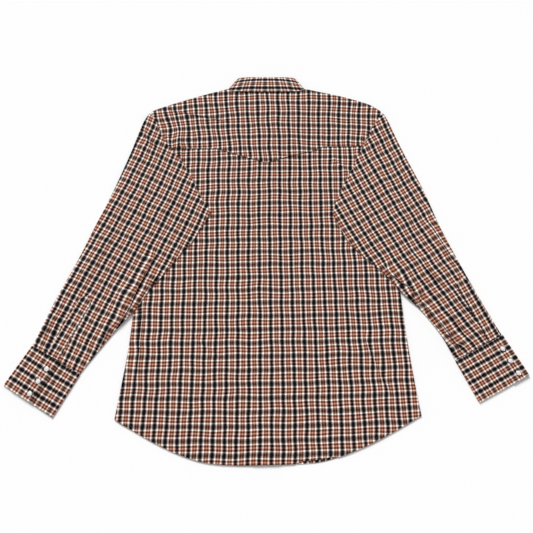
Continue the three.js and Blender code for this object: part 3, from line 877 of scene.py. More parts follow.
@dataclass
class ClothSheet:
    """A sheet of cloth as a grid of places on its middle surface, with its plaid."""

    name: str
    places: np.ndarray  # columns, rows, 3, in plan millimetres
    plaid: np.ndarray  # the same grid in repeats, with one more column on a tube
    thickness: float = SHEET
    tube: bool = False

    def normals(self) -> np.ndarray:
        """The unit normal at each place of the grid.

        Returns:
            The normals, in the grid's shape.
        """
        grid = self.places
        if self.tube:
            across = np.roll(grid, -1, 0) - np.roll(grid, 1, 0)
        else:
            across = np.gradient(grid, axis=0)
        along = np.gradient(grid, axis=1)
        out = np.cross(across, along)
        return out / np.maximum(np.linalg.norm(out, axis=-1, keepdims=True), 1e-9)

    def area(self) -> float:
        """The middle surface's area in square metres.

        Returns:
            The area.
        """
        grid = self.places
        if self.tube:
            grid = np.concatenate([grid, grid[:1]])
        a = grid[1:, 1:] - grid[:-1, :-1]
        b = grid[:-1, 1:] - grid[1:, :-1]
        return float(np.linalg.norm(np.cross(a, b), axis=-1).sum() / 2) * MM * MM

    def read(self, column: np.ndarray, row: np.ndarray, lift: float) -> np.ndarray:
        """Places on the sheet between the grid's own.

        Args:
            column: places along the grid's first axis, in columns.
            row: places along its second axis, in rows.
            lift: millimetres off the middle surface.

        Returns:
            The places.
        """
        grid = self.places + self.normals() * lift
        i = np.clip(column.astype(int), 0, grid.shape[0] - 2)
        j = np.clip(row.astype(int), 0, grid.shape[1] - 2)
        s, t = (column - i)[:, None], (row - j)[:, None]
        low = lerp(grid[i, j], grid[i + 1, j], s)
        return lerp(low, lerp(grid[i, j + 1], grid[i + 1, j + 1], s), t)

    def build(self, finish: bpy.types.Material) -> bpy.types.Object:
        """Makes the sheet's closed mesh.

        Args:
            finish: the cloth's material.

        Returns:
            The piece.
        """
        columns, rows = self.places.shape[:2]
        index = np.arange(columns * rows).reshape(columns, rows)
        if self.tube:
            index = np.concatenate([index, index[:1]])
        corner = [(0, 0), (1, 0), (1, 1), (0, 1)]
        spans, steps = index.shape[0] - 1, rows - 1
        quads = np.stack(
            [index[i : i + spans, j : j + steps] for i, j in corner], axis=-1
        )
        charts = np.stack(
            [self.plaid[i : i + spans, j : j + steps] for i, j in corner], axis=2
        )
        points = ((self.places + PLAN_ZERO) * MM).reshape(-1, 3)
        mesh = bpy.data.meshes.new(self.name)
        mesh.from_pydata(points.tolist(), [], quads.reshape(-1, 4).tolist())
        chart = mesh.uv_layers.new(name="plaid")
        chart.data.foreach_set("uv", charts.reshape(-1).astype(np.float32))
        mesh.update()
        piece = bpy.data.objects.new(self.name, mesh)
        bpy.context.scene.collection.objects.link(piece)
        wall = piece.modifiers.new("wall", "SOLIDIFY")
        wall.thickness = self.thickness * MM
        wall.offset = 0.0
        wall.use_even_offset = False
        only(piece)
        bpy.ops.object.modifier_apply(modifier="wall")
        bpy.ops.object.shade_smooth_by_angle(angle=math.radians(60))
        piece.data.materials.append(finish)
        return piece


def only(*pieces: bpy.types.Object) -> None:
    """Selects these pieces alone, the first of them active.

    Args:
        pieces: the pieces.
    """
    bpy.ops.object.select_all(action="DESELECT")
    for piece in pieces:
        piece.select_set(True)
    bpy.context.view_layer.objects.active = pieces[0]


def finish_piece(piece: bpy.types.Object, slot: Slot, *nodes: str) -> bpy.types.Object:
    """Rides a piece on the shirt's body and hides what it stands for.

    Args:
        piece: the piece.
        slot: its finish; not used.
        nodes: the CAD nodes that it stands for.

    Returns:
        The same piece.
    """
    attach(piece, "root")
    if nodes:
        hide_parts(*nodes)
    LOG.info("%s: %d faces", piece.name, len(piece.data.polygons))
    return piece


@dataclass(frozen=True)
class StitchRow:
    """A line of lockstitch laid on cloth."""

    pitch: float = 2.9
    length: float = 2.1
    thick: float = 0.34

    def solids(
        self, line: np.ndarray, up: np.ndarray, start: int
    ) -> tuple[list[list[float]], list[list[int]]]:
        """The stitches along a line.

        Args:
            line: places along the row, in plan millimetres.
            up: the cloth's normal at each.
            start: number of the first vertex.

        Returns:
            Vertices in metres, and faces.
        """
        steps = np.linalg.norm(np.diff(line, axis=0), axis=1)
        gone = run_of(steps)
        count = int((gone[-1] - self.length) / self.pitch)
        if count < 1:
            return [], []
        begin = (gone[-1] - (count - 1) * self.pitch - self.length) / 2
        heads = begin + self.pitch * np.arange(count)

        def along(values: np.ndarray, at: np.ndarray) -> np.ndarray:
            """Values of the row at lengths along it."""
            return np.stack([np.interp(at, gone, values[:, k]) for k in range(3)], -1)

        ring = [(-0.5, 0.0), (0.0, 0.5), (0.5, 0.0), (0.0, -0.35)]
        sections = [(0.0, 0.25, -0.35), (0.18, 0.9, 0.1), (0.82, 0.9, 0.1), (1.0, 0.25, -0.35)]
        points, faces = [], []
        for head in heads:
            base = start + len(points)
            first, last = along(line, np.array([head, head + self.length]))
            way = (last - first) / max(np.linalg.norm(last - first), 1e-6)
            rise = along(up, np.array([head]))[0]
            side = np.cross(way, rise)
            for share, girth, lift in sections:
                middle = lerp(first, last, share) + rise * lift * self.thick
                for across, over in ring:
                    spot = middle + (side * across + rise * over) * girth * self.thick
                    points.append(((spot + PLAN_ZERO) * MM).tolist())
            for k in range(3):
                for q in range(4):
                    a, b = base + 4 * k + q, base + 4 * k + (q + 1) % 4
                    faces.append([a, b, b + 4, a + 4])
            faces.append([base + 3, base + 2, base + 1, base])
            faces.append([base + 12, base + 13, base + 14, base + 15])
        return points, faces


@dataclass
class Topstitching:
    """All the rows of stitches on one sheet, as one piece."""

    name: str
    rows: list[tuple[np.ndarray, np.ndarray]] = field(default_factory=list)

    def add(self, sheet: ClothSheet, column: np.ndarray, row: np.ndarray) -> None:
        """Lays a row on a sheet.

        Args:
            sheet: the cloth.
            column: the row's places along the grid's first axis, in columns.
            row: its places along the second axis, in rows.
        """
        high = sheet.read(column, row, 1.0) - sheet.read(column, row, 0.0)
        high = high / np.linalg.norm(high, axis=1, keepdims=True)
        flip = np.sign(high[:, 2:3].mean()) or 1.0
        line = sheet.read(column, row, flip * sheet.thickness / 2)
        self.rows.append((line, high * flip))

    def build(self, finish: bpy.types.Material, kind: StitchRow) -> bpy.types.Object:
        """Makes the stitches.

        Args:
            finish: the thread's material.
            kind: the stitch.

        Returns:
            The piece.
        """
        points: list[list[float]] = []
        faces: list[list[int]] = []
        for line, up in self.rows:
            more_points, more_faces = kind.solids(line, up, len(points))
            points += more_points
            faces += more_faces
        mesh = bpy.data.meshes.new(self.name)
        mesh.from_pydata(points, [], faces)
        form = bmesh.new()
        form.from_mesh(mesh)
        bmesh.ops.recalc_face_normals(form, faces=form.faces)
        form.to_mesh(mesh)
        form.free()
        piece = bpy.data.objects.new(self.name, mesh)
        bpy.context.scene.collection.objects.link(piece)
        only(piece)
        bpy.ops.object.shade_smooth_by_angle(angle=math.radians(70))
        mesh.materials.append(finish)
        return piece


# The body of the shirt


@dataclass(frozen=True)
class BodyPlan:
    """The shirt's outline, laid flat, and the heights that its layers lie at."""

    left: SmoothLine = SmoothLine(
        (
            (343, -260), (330, -260), (316, -252), (300, -244), (240, -229), (180, -233),
            (130, -252), (95, -270), (0, -271), (-101, -272), (-203, -278), (-300, -290),
            (-350, -297),
        )
    )
    right: SmoothLine = SmoothLine(
        (
            (343, 259), (330, 259), (316, 251), (300, 243), (240, 229), (180, 233), (130, 251),
            (95, 271), (0, 274), (-101, 278), (-203, 286), (-300, 297), (-350, 304),
        )
    )
    hem: SmoothLine = SmoothLine(
        (
            (-297, -349), (-285, -357), (-261, -370), (-217, -394), (-168, -416), (-118, -431),
            (-60, -436), (0, -435.5), (60, -433.5), (106, -429), (155, -415), (208, -393),
            (256, -368), (304, -341),
        )
    )
    shoulder_left: SmoothLine = SmoothLine(
        ((-260, 342), (-248, 348), (-224, 357.5), (-195, 368), (-132, 389), (-84, 402))
    )
    shoulder_right: SmoothLine = SmoothLine(
        ((84, 402), (143, 389), (180, 379), (214, 368), (238, 358), (259, 343))
    )
    neck_half: float = 84
    neck_side_y: float = 402
    back_neck_drop: float = 6
    front_neck_drop: float = 80
    yoke_line: tuple[Place, ...] = (
        (-300, 247.5), (-112, 247), (-48, 226.5), (0, 210.5), (48, 227), (100, 240),
        (114, 245), (125, 252), (300, 252.5),
    )
    band_half: float = 18
    underarm_y: float = 95
    layer: float = 1.3
    ridges: tuple[Ridge, ...] = (
        Ridge((-182, 306), (-212, 222), 15, 2.4),
        Ridge((-234, 290), (-214, 246), 11, 1.8),
        Ridge((224, 300), (204, 224), 13, 2.0),
        Ridge((140, 232), (188, 178), 13, 1.6),
        Ridge((-258, -80), (-247, -225), 13, 1.9),
        Ridge((262, -85), (268, -210), 13, 1.7),
        Ridge((204, -275), (250, -325), 13, 1.4),
    )

    def back_hem(self, x: np.ndarray) -> np.ndarray:
        """The back tail's hem, lifted where the front tail shows below it."""
        return self.hem.at(x) + 5 * (1 - smooth(0.55 * 46, 46, np.abs(x - 96)))

    def _top(self, x: np.ndarray, neckline: np.ndarray) -> np.ndarray:
        """The shoulder line, with a neckline between the neck's corners."""
        shoulder = np.where(x < 0, self.shoulder_left.at(x), self.shoulder_right.at(x))
        return np.where(np.abs(x) >= self.neck_half, shoulder, neckline)

    def back_top(self, x: np.ndarray) -> np.ndarray:
        """The back's upper edge."""
        t = np.clip(x / self.neck_half, -1, 1)
        return self._top(x, self.neck_side_y - self.back_neck_drop * (1 - t * t))

    def front_top(self, x: np.ndarray) -> np.ndarray:
        """The fronts' upper edge.

        Args:
            x: places across the shirt.

        Returns:
            Y at each.
        """
        t = np.clip(x / self.neck_half, -1, 1)
        curve = self.neck_side_y - self.front_neck_drop * np.sqrt(1 - t * t)
        return self._top(x, curve)

    def yoke_seam(self, x: np.ndarray) -> np.ndarray:
        """The yoke's lower edge, with its point at the centre back."""
        return np.interp(x, *np.array(self.yoke_line).T)

    def over_collar(self, x: np.ndarray, y: np.ndarray) -> np.ndarray:
        """1 over the collar's points, fading to 0 around them."""
        return 1 - smooth(0.92, 1.2, np.hypot(x / 105, (y - self.neck_side_y) / 165))

    def over_band(self, x: np.ndarray, y: np.ndarray) -> np.ndarray:
        """1 over the front band, fading to 0 past its edge."""
        beside = 1 - smooth(self.band_half + 1.5, self.band_half + 16, np.abs(x))
        return beside * (1 - smooth(345, 392, y))

    def outside(self, x: np.ndarray, y: np.ndarray) -> np.ndarray:
        """How far places are outside the body, in millimetres, negative inside.

        Args:
            x: the places' X.
            y: their Y.

        Returns:
            The distance at each.
        """
        side = np.where(x < 0, -1.0, 1.0)
        nearest = np.full(np.shape(x), np.inf)
        for at in np.arange(-350.0, 344.0, 7.0):
            edge = np.where(x < 0, self.left.at(at), self.right.at(at))
            nearest = np.minimum(nearest, np.hypot(x - edge, y - at))
        across = side * (x - np.where(x < 0, self.left.at(y), self.right.at(y)))
        return np.where(
            across > 0, np.minimum(nearest, across), np.maximum(-nearest, across)
        )

    def back_under(self, x: np.ndarray, y: np.ndarray) -> np.ndarray:
        """Height of the back's underside.

        Args:
            x: the places' X.
            y: their Y.

        Returns:
            The height at each.
        """
        fronts = 1.0 + self.layer * (self.over_collar(x, y) + self.over_band(x, y))
        edge = np.minimum(-self.outside(x, y), self.back_top(x) - y)
        edge = np.minimum(edge, y - self.back_hem(x))
        loft = smooth(4, 45, edge) * (0.7 + height_of(self.ridges, x, y))
        return fronts + SEAM_GAP + 0.1 + loft

    def back_over(self, x: np.ndarray, y: np.ndarray) -> np.ndarray:
        """Height of the back's upper side, yoke included."""
        wall = np.where(y > self.yoke_seam(x) - 2, 1.4, 1.0)
        return self.back_under(x, y) + wall

    def grid(
        self,
        shares: np.ndarray,
        rises: np.ndarray,
        ends: tuple[Line, Line],
        sides: tuple[Line, Line],
    ) -> tuple[np.ndarray, np.ndarray]:
        """Places of a panel: columns are shares of its width, rows run up each column.

        Args:
            shares: the columns.
            rises: the rows, as shares of a column.
            ends: the panel's lower and upper line.
            sides: its left and right line.

        Returns:
            X and Y of the grid.
        """
        met = []
        for line, start in zip(ends, (-300.0, 300.0)):
            y = np.full(shares.shape, start)
            for _ in range(12):
                y = line(lerp(sides[0](y), sides[1](y), shares))
            met.append(y)
        y = lerp(met[0][:, None], met[1][:, None], rises[None, :])
        x = lerp(sides[0](y), sides[1](y), shares[:, None])
        return x, y


PLAN = BodyPlan()


@dataclass
class Back:
    """The back, cut in one below a double yoke with a point at the centre."""

    finishes: Finishes
    step: float = 3.0
    body_flat: Place = (0.60, 0.70)
    yoke_flat: Place = (0.53, 0.20)
    yoke_insets: Place = (2.0, 7.5)  # millimetres from the seam to its rows of stitches
    hem_inset: float = 6.5 / 650  # share of a column from the hem to its stitches
    creases: tuple[Crease, ...] = (
        Crease(((-236, 350), (-150, 331), (-70, 313)), 9, -2.4, 2.2, 0.7),
        Crease(((-205, 338), (-140, 320), (-90, 300)), 10, -4, 1.0),
        Crease(((-232, 292), (-218, 269), (-211, 240)), 7, 2.6, 2.1, 0.5),
        Crease(((-199, 310), (-193, 251), (-187, 205)), 8, 2.8, 2.2, 0.5),
        Crease(((-168, 306), (-150, 268), (-135, 240)), 7, -2.6, 1.5, 0.4),
        Crease(((-214, 250), (-196, 214), (-168, 176)), 8, 3, 1.2, 0.3),
        Crease(((-120, 318), (-112, 270)), 9, 5, 0.8),
        Crease(((196, 334), (182, 286), (176, 236)), 9, -3, 1.2, 0.3),
        Crease(((226, 306), (206, 262), (192, 214)), 8, -2.8, 1.6, 0.4),
        Crease(((140, 232), (172, 196), (188, 178)), 7, 2.6, 1.7, 0.4),
        Crease(((128, 300), (120, 258)), 9, 5, 0.8),
        Crease(((-166, -165), (-118, -205), (-77, -231)), 10, -2.8, 1.6, 0.4),
        Crease(((-206, -60), (-188, -150), (-196, -250)), 14, 5, 1.1),
        Crease(
            ((-249, -84), (-254, -125), (-256, -165), (-258, -215), (-261, -285)),
            6, 2.2, 2.3, 0.9,
        ),
        Crease(
            ((190, -158), (205, -201), (217, -231), (230, -266), (243, -292), (262, -310)),
            9, -2.4, 2.3, 0.6,
        ),
        Crease(((236, -90), (246, -150), (240, -220)), 12, -4, 1.2),
        Crease(((120, -40), (150, -95), (176, -150)), 16, 7, 0.9),
        Crease(((-40, 120), (-52, 50), (-60, -20)), 16, 8, 0.6),
        Crease(((150, 60), (110, 20), (60, -4)), 14, 7, 0.6),
        Crease(((60, -200), (70, -260), (84, -330)), 16, 7, 0.8),
        Crease(((-110, -300), (-84, -350), (-60, -400)), 15, 6, 0.8),
        Crease(((8, -330), (30, -372), (36, -410)), 12, -5, 0.8),
        Crease(((146, -330), (160, -370), (158, -400)), 11, 4, 0.9),
        Crease(((-190, -310), (-170, -350), (-160, -395)), 12, -4, 0.9),
    )
    drifts: tuple[Drift, ...] = (Drift(11, 95, 0.30), Drift(12, 38, 0.16), Drift(13, 15, 0.05))

    def relief(self, x: np.ndarray, y: np.ndarray) -> np.ndarray:
        """How the small folds move the cloth, dying away at the panel's outer edge.

        Args:
            x: the places' X.
            y: their Y.

        Returns:
            The columns of Crease.at.
        """
        edge = np.minimum(-PLAN.outside(x, y), PLAN.back_top(x) - y)
        edge = np.minimum(edge, y - PLAN.back_hem(x))
        move = creased(self.creases, x, y)
        move[..., 2] += height_of(self.drifts, x, y) + 0.35
        return smooth(1, 13, edge)[..., None] * move

    def pucker(self, x: np.ndarray, away: np.ndarray, reach: float) -> np.ndarray:
        """Small puckers beside a seam.

        Args:
            x: places along the seam.
            away: millimetres from it.
            reach: how far the puckers run.

        Returns:
            Their height.
        """
        wave = np.sin(x / 2.1) + 0.7 * np.sin(x / 3.7 + 1.1) + 0.5 * np.sin(x / 1.3 + 2)
        return 0.14 * wave * np.exp(-((away / reach) ** 2))

    def panel(
        self, name: str, ends: tuple[Line, Line], rows: int, wall: float, plaid: Plaid
    ) -> ClothSheet:
        """One panel of the back as a sheet.

        Args:
            name: the piece's name.
            ends: its lower and upper line.
            rows: places up each column.
            wall: its thickness in the plan.
            plaid: how its stripes lie.

        Returns:
            The sheet.
        """
        columns = int(580 / self.step)
        x, y = PLAN.grid(
            np.linspace(0, 1, columns),
            np.linspace(0, 1, rows),
            ends,
            (PLAN.left.at, PLAN.right.at),
        )
        seam = np.abs(y - PLAN.yoke_seam(x))
        z = PLAN.back_under(x, y) + wall / 2 + self.pucker(x, seam, 9)
        move = self.relief(x, y)
        move[..., (0, 1, 3, 4)] *= smooth(3, 14, seam)[..., None]
        places = np.stack([x, y, z], -1) + move[..., :3]
        return ClothSheet(name, places, plaid.at(np.stack([x, y], -1) - move[..., 3:]))

    def build(self) -> None:
        """Makes the back, the yoke and their stitches.

        Returns:
            None. The pieces stand in the scene.
        """
        body = self.panel(
            "shirt_back",
            (PLAN.back_hem, lambda x: PLAN.yoke_seam(x) + 3.0),
            int(690 / self.step),
            1.0,
            BACK_PLAID,
        )
        x, y, z = np.moveaxis(body.places, -1, 0)
        under_yoke = smooth(-4, 0, y - PLAN.yoke_seam(x))
        body.places[..., 2] = z - 0.45 * under_yoke
        body_piece = body.build(self.finishes.cotton)
        finish_piece(body_piece, Slot.PLAID, "back_body")

        yoke = self.panel(
            "shirt_yoke",
            (PLAN.yoke_seam, PLAN.back_top),
            int(200 / self.step * 1.6),
            1.4,
            YOKE_PLAID,
        )
        x, y, z = np.moveaxis(yoke.places, -1, 0)
        above = y - PLAN.yoke_seam(x)
        yoke.places[..., 2] = z + 0.5 + 0.9 * np.exp(-((above / 6) ** 2))
        yoke_piece = yoke.build(self.finishes.cotton)
        finish_piece(yoke_piece, Slot.PLAID, "back_yoke")

        rows = Topstitching("stitches_yoke")
        columns = np.arange(4, yoke.places.shape[0] - 5, 0.5)
        rise = PLAN.back_top(0.0) - PLAN.yoke_seam(0.0)
        for inset in self.yoke_insets:
            at = inset / float(rise) * (yoke.places.shape[1] - 1)
            rows.add(yoke, columns, np.full(columns.shape, at))
        yoke_rows = rows.build(self.finishes.thread, StitchRow())
        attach(yoke_rows, "root")

        hem = Topstitching("stitches_back_hem")
        columns = np.arange(1, body.places.shape[0] - 2, 0.5)
        inset = self.hem_inset * (body.places.shape[1] - 1)
        hem.add(body, columns, np.full(columns.shape, inset))
        hem_rows = hem.build(self.finishes.thread, StitchRow())
        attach(hem_rows, "root")
        LOG.info("back area %.4f, yoke area %.4f", body.area(), yoke.area())
        body.area()
        yoke.area()


@dataclass
class Fronts:
    """The two fronts, face down on the table, and the snap band along the opening."""

    finishes: Finishes
    step: float = 8.0
    left_flat: Place = (0.30, 0.84)
    right_flat: Place = (0.32, 0.84)
    band_flat: Place = (0.036, 0.765)

    def heights(self, x: np.ndarray, y: np.ndarray, band: bool) -> np.ndarray:
        """Height of a front's middle surface."""
        rise = PLAN.over_collar(x, y) + (PLAN.over_band(x, y) if band else 0)
        return 0.5 + PLAN.layer * rise

    def sheet(self, name: str, inner: float, right: bool) -> ClothSheet:
        """One front as a sheet.

        Args:
            name: the piece's name.
            inner: X of its inner edge.
            right: whether it is the front on the plan's right, which laps over the band.

        Returns:
            The sheet.
        """
        outer = PLAN.right.at if right else PLAN.left.at
        lines = (lambda y: np.full(np.shape(y), inner), outer)
        u = np.linspace(0, 1, int(300 / self.step) * 2)
        rises = np.linspace(0, 1, int(760 / self.step))
        x, y = PLAN.grid(u**1.15, rises, (PLAN.hem.at, PLAN.front_top), lines)
        z = self.heights(x, y, right)
        return ClothSheet(name, np.stack([x, y, z], -1), FRONT_PLAID.at(np.stack([x, y], -1)))

    def band(self) -> ClothSheet:
        """The snap band as a sheet.

        Returns:
            The sheet.
        """
        x = np.linspace(-PLAN.band_half, PLAN.band_half, 25)[:, None]
        rise = np.linspace(0, 1, 180)[None, :]
        y = lerp(PLAN.hem.at(x), PLAN.front_top(x), rise)
        x = np.broadcast_to(x, y.shape)
        z = 0.5 + PLAN.layer * PLAN.over_collar(x, y)
        shifted = Plaid(StraightStripes(1.0, 0.0, -0.5), StraightStripes(0.0, 1.0, 150.0))
        plaid = shifted.at(np.stack([x, y], -1))
        return ClothSheet("shirt_front_band", np.stack([x, y, z], -1), plaid, 0.8)

    def build(self) -> None:
        """Makes the fronts and the band.

        Returns:
            None. The pieces stand in the scene.
        """
        for name, inner, right, node in (
            ("shirt_front_left", -PLAN.band_half - SEAM_GAP, False, "front_left"),
            ("shirt_front_right", -PLAN.band_half + 2, True, "front_right"),
        ):
            sheet = self.sheet(name, inner, right)
            piece = finish_piece(sheet.build(self.finishes.cotton), Slot.PLAID, node)
            LOG.info("%s area %.4f", name, sheet.area())
            sheet.area()
        band = self.band()
        piece = finish_piece(band.build(self.finishes.cotton), Slot.PLAID, "front_band")
        LOG.info("band area %.4f", band.area())
        band.area()


# The collar


@dataclass(frozen=True)
class CollarSection:
    """A section of the collar leaf, from its crease to its free edge."""

    fold: Place
    edge: Place
    fold_z: float
    middle_z: float
    edge_z: float

    def mirrored(self) -> "CollarSection":
        """The same section on the other side of the neck.

        Returns:
            The mirrored section.
        """
        return CollarSection(
            (-self.fold[0], self.fold[1]),
            (-self.edge[0], self.edge[1]),
            self.fold_z,
            self.middle_z,
            self.edge_z,
        )


def refined(grid: np.ndarray, counts: tuple[int, int]) -> np.ndarray:
    """A finer grid that passes smoothly through the places of a coarse one.

    Args:
        grid: the coarse grid.
        counts: steps in each of its spans, along each axis.

    Returns:
        The finer grid.
    """
    for axis, count in enumerate(counts):
        points = np.moveaxis(grid, axis, 0)
        last = len(points) - 1
        fine = through(points, np.linspace(0, last, last * count + 1))
        grid = np.moveaxis(fine, 0, axis)
    return grid


@dataclass
class Collar:
    """The collar: a leaf folded down over its stand."""

    finishes: Finishes
    sections: tuple[CollarSection, ...] = (
        CollarSection((0, 431), (0, 392), 5.6, 8.4, 6.3),
        CollarSection((34, 431), (42, 392.6), 5.6, 8.4, 6.3),
        CollarSection((57, 430), (68, 394), 5.5, 7.9, 6.2),
        CollarSection((64, 428.5), (80, 396), 5.0, 6.6, 5.8),
        CollarSection((67, 427.5), (84.5, 401), 4.2, 5.0, 5.0),
        CollarSection((67.8, 426.6), (86, 402.8), 2.3, 2.4, 2.4),
        CollarSection((66, 425), (85.5, 401.6), 0.8, 0.8, 0.7),
        CollarSection((60, 418), (86, 388), 0.5, 0.5, 0.5),
        CollarSection((46, 388), (79, 343), 0.5, 0.5, 0.5),
        CollarSection((27, 358), (64, 304), 0.5, 0.5, 0.5),
        CollarSection((8, 344), (48, 270), 0.5, 0.5, 0.5),
    )
    leaf_flat: Place = (0.42, 0.085)
    stand_flat: Place = (0.44, 0.036)
    stand_front_height: float = 27

    def leaf(self) -> ClothSheet:
        """The leaf as a sheet.

        Returns:
            The sheet.
        """
        around = [s.mirrored() for s in reversed(self.sections[1:])] + list(self.sections)
        rows = []
        for s in around:
            turn = float(smooth(2.6, 4.6, s.fold_z))

            def place(down: float, z: float, s: CollarSection = s) -> list[float]:
                """The place a share of the way down a section, at a height."""
                return [lerp(s.fold[0], s.edge[0], down), lerp(s.fold[1], s.edge[1], down), z]

            if turn < 0.01:
                row = [place(0, s.fold_z), place(0.02, s.fold_z)]
            else:
                row = [place(0.015, s.fold_z - turn), place(-0.012 * turn, s.fold_z - 0.45 * turn)]
            for down in (0.06, 0.26, 0.5, 0.75, 1.0):
                bend = 4 * down * (1 - down)
                lift = bend * (s.middle_z - (s.fold_z + s.edge_z) / 2)
                row.append(place(down, lerp(s.fold_z, s.edge_z, down) + lift))
            rows.append(row)
        grid = refined(np.array(rows), (6, 5))
        middle = grid[:, grid.shape[1] // 2]
        steps = np.linalg.norm(np.diff(middle[:, :2], axis=0), axis=1)
        around_mm = run_of(steps)
        around_mm = around_mm - around_mm[len(around_mm) // 2]
        steps = np.linalg.norm(np.diff(grid[:, :, :2], axis=1), axis=2)
        down_mm = run_of(steps)
        bow = np.minimum(1, np.abs(around_mm) / 70)[:, None] ** 2
        bow = bow * (2.4 + 4.5 * np.clip(1 - down_mm / 28, 0, 1))
        stripes = 1.0297 * (down_mm - bow) - 9.0
        along = np.broadcast_to(1.054 * around_mm[:, None] + 59.6, stripes.shape)
        plaid = np.stack([stripes / WARP_REPEAT, along / WEFT_REPEAT], -1)
        return ClothSheet("shirt_collar_leaf", grid, plaid, 0.9)

    def stand(self) -> ClothSheet:
        """The stand as a sheet, its ends lapped at the front, the right one above.

        Returns:
            The sheet.
        """
        low = 0.5 + PLAN.layer
        back = float(1.0 + PLAN.layer * PLAN.over_collar(np.array(42.0), np.array(402.0))) + 1.0
        middle = (back + low) / 2

        def front(degrees: float) -> Place:
            """A place of the front neckline, by its angle from the centre."""
            a = math.radians(degrees)
            return (82.9 * math.sin(a), 402 - 78.9 * math.cos(a))

        def behind(x: float) -> Place:
            """A place just above the back neckline."""
            return (x, float(PLAN.back_top(np.array(x))) + 0.5)

        around = [
            (behind(0), (0, 431.2), back),
            (behind(36), (32, 431.2), back),
            (behind(62), (52, 430.2), back),
            ((75, 402.5), (58.5, 429), back),
            ((79.5, 403.2), (61.5, 427.5), lerp(back, middle, 0.55)),
            ((80.5, 403.5), (62.3, 426.5), middle),
            ((80, 403.0), (61.5, 425), lerp(middle, low, 0.7)),
            (front(84), (58.5, 418), low),
            (front(72), (54, 406), low),
            (front(60), (47, 391), low),
            (front(48), (38, 377), low),
            (front(34), (29, 363), low),
            (front(20), (21, 354), low),
        ]

        def tip(degrees: float, z: float) -> tuple[Place, Place, float]:
            """A section of the lapped front, by its angle and height."""
            neck = front(degrees)
            return (neck, (neck[0] * 0.8, neck[1] + self.stand_front_height), z)

        under = [tip(8, low), tip(-9, low)]
        over = [tip(17, low)] + [tip(degrees, low + PLAN.layer) for degrees in (11, 0, -9)]

        def wall(section: tuple[Place, Place, float], sign: int) -> list[list[float]]:
            """Three places up one section of the stand.

            Args:
                section: its lower and its upper place, and its height.
                sign: -1 for the plan's left half, 1 for its right.

            Returns:
                The places.
            """
            neck, top, z = section
            return [
                [sign * lerp(neck[0], top[0], rise), lerp(neck[1], top[1], rise), z]
                for rise in (0, 0.5, 1)
            ]

        left = [wall(s, -1) for s in reversed(around[1:] + under)]
        right = [wall(s, 1) for s in around + over]
        grid = refined(np.array(left + right), (4, 6))
        plaid = Plaid(StraightStripes(0.0, -1.03, 438.9), StraightStripes(1.0, 0.0, 61.0))
        return ClothSheet("shirt_collar_stand", grid, plaid.at(grid), 0.7)

    def build(self) -> None:
        """Makes the leaf, the stand and the leaf's stitches.

        Returns:
            None. The pieces stand in the scene.
        """
        leaf = self.leaf()
        piece = finish_piece(leaf.build(self.finishes.cotton), Slot.PLAID, "collar_leaf")
        rows = Topstitching("stitches_collar")
        columns = np.arange(2, leaf.places.shape[0] - 3, 0.25)
        rows.add(leaf, columns, np.full(columns.shape, leaf.places.shape[1] - 1 - 4.2))
        stitches = rows.build(self.finishes.thread, StitchRow())
        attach(stitches, "root")
        LOG.info("leaf area %.4f", leaf.area())
        leaf.area()
        stand = self.stand()
        piece = finish_piece(stand.build(self.finishes.cotton), Slot.PLAID, "collar_stand")
        LOG.info("stand area %.4f", stand.area())
        stand.area()


# Sleeves and cuffs


@dataclass(frozen=True)
class CuffPlan:
    """A cuff's corners, and where its strip ends."""

    outer_top: Place
    outer_hem: Place
    inner_hem: Place
    inner_top: Place
    free_edge: float
    under_end: float
    plaid: Plaid
    flap_plaid: Plaid

    def width(self) -> float:
        """The cuff's width along its upper seam."""
        return math.dist(self.outer_top, self.inner_top)

    def place(self, across: np.ndarray, down: np.ndarray) -> np.ndarray:
        """Places of the plan for millimetres across and shares down.

        Args:
            across: millimetres from the outer edge.
            down: shares of the way to the hem.

        Returns:
            The places.
        """
        share = (np.asarray(across, float) / self.width())[..., None]
        down = np.asarray(down, float)[..., None]
        top = lerp(np.array(self.outer_top), np.array(self.inner_top), share)
        hem = lerp(np.array(self.outer_hem), np.array(self.inner_hem), share)
        return lerp(top, hem, down)


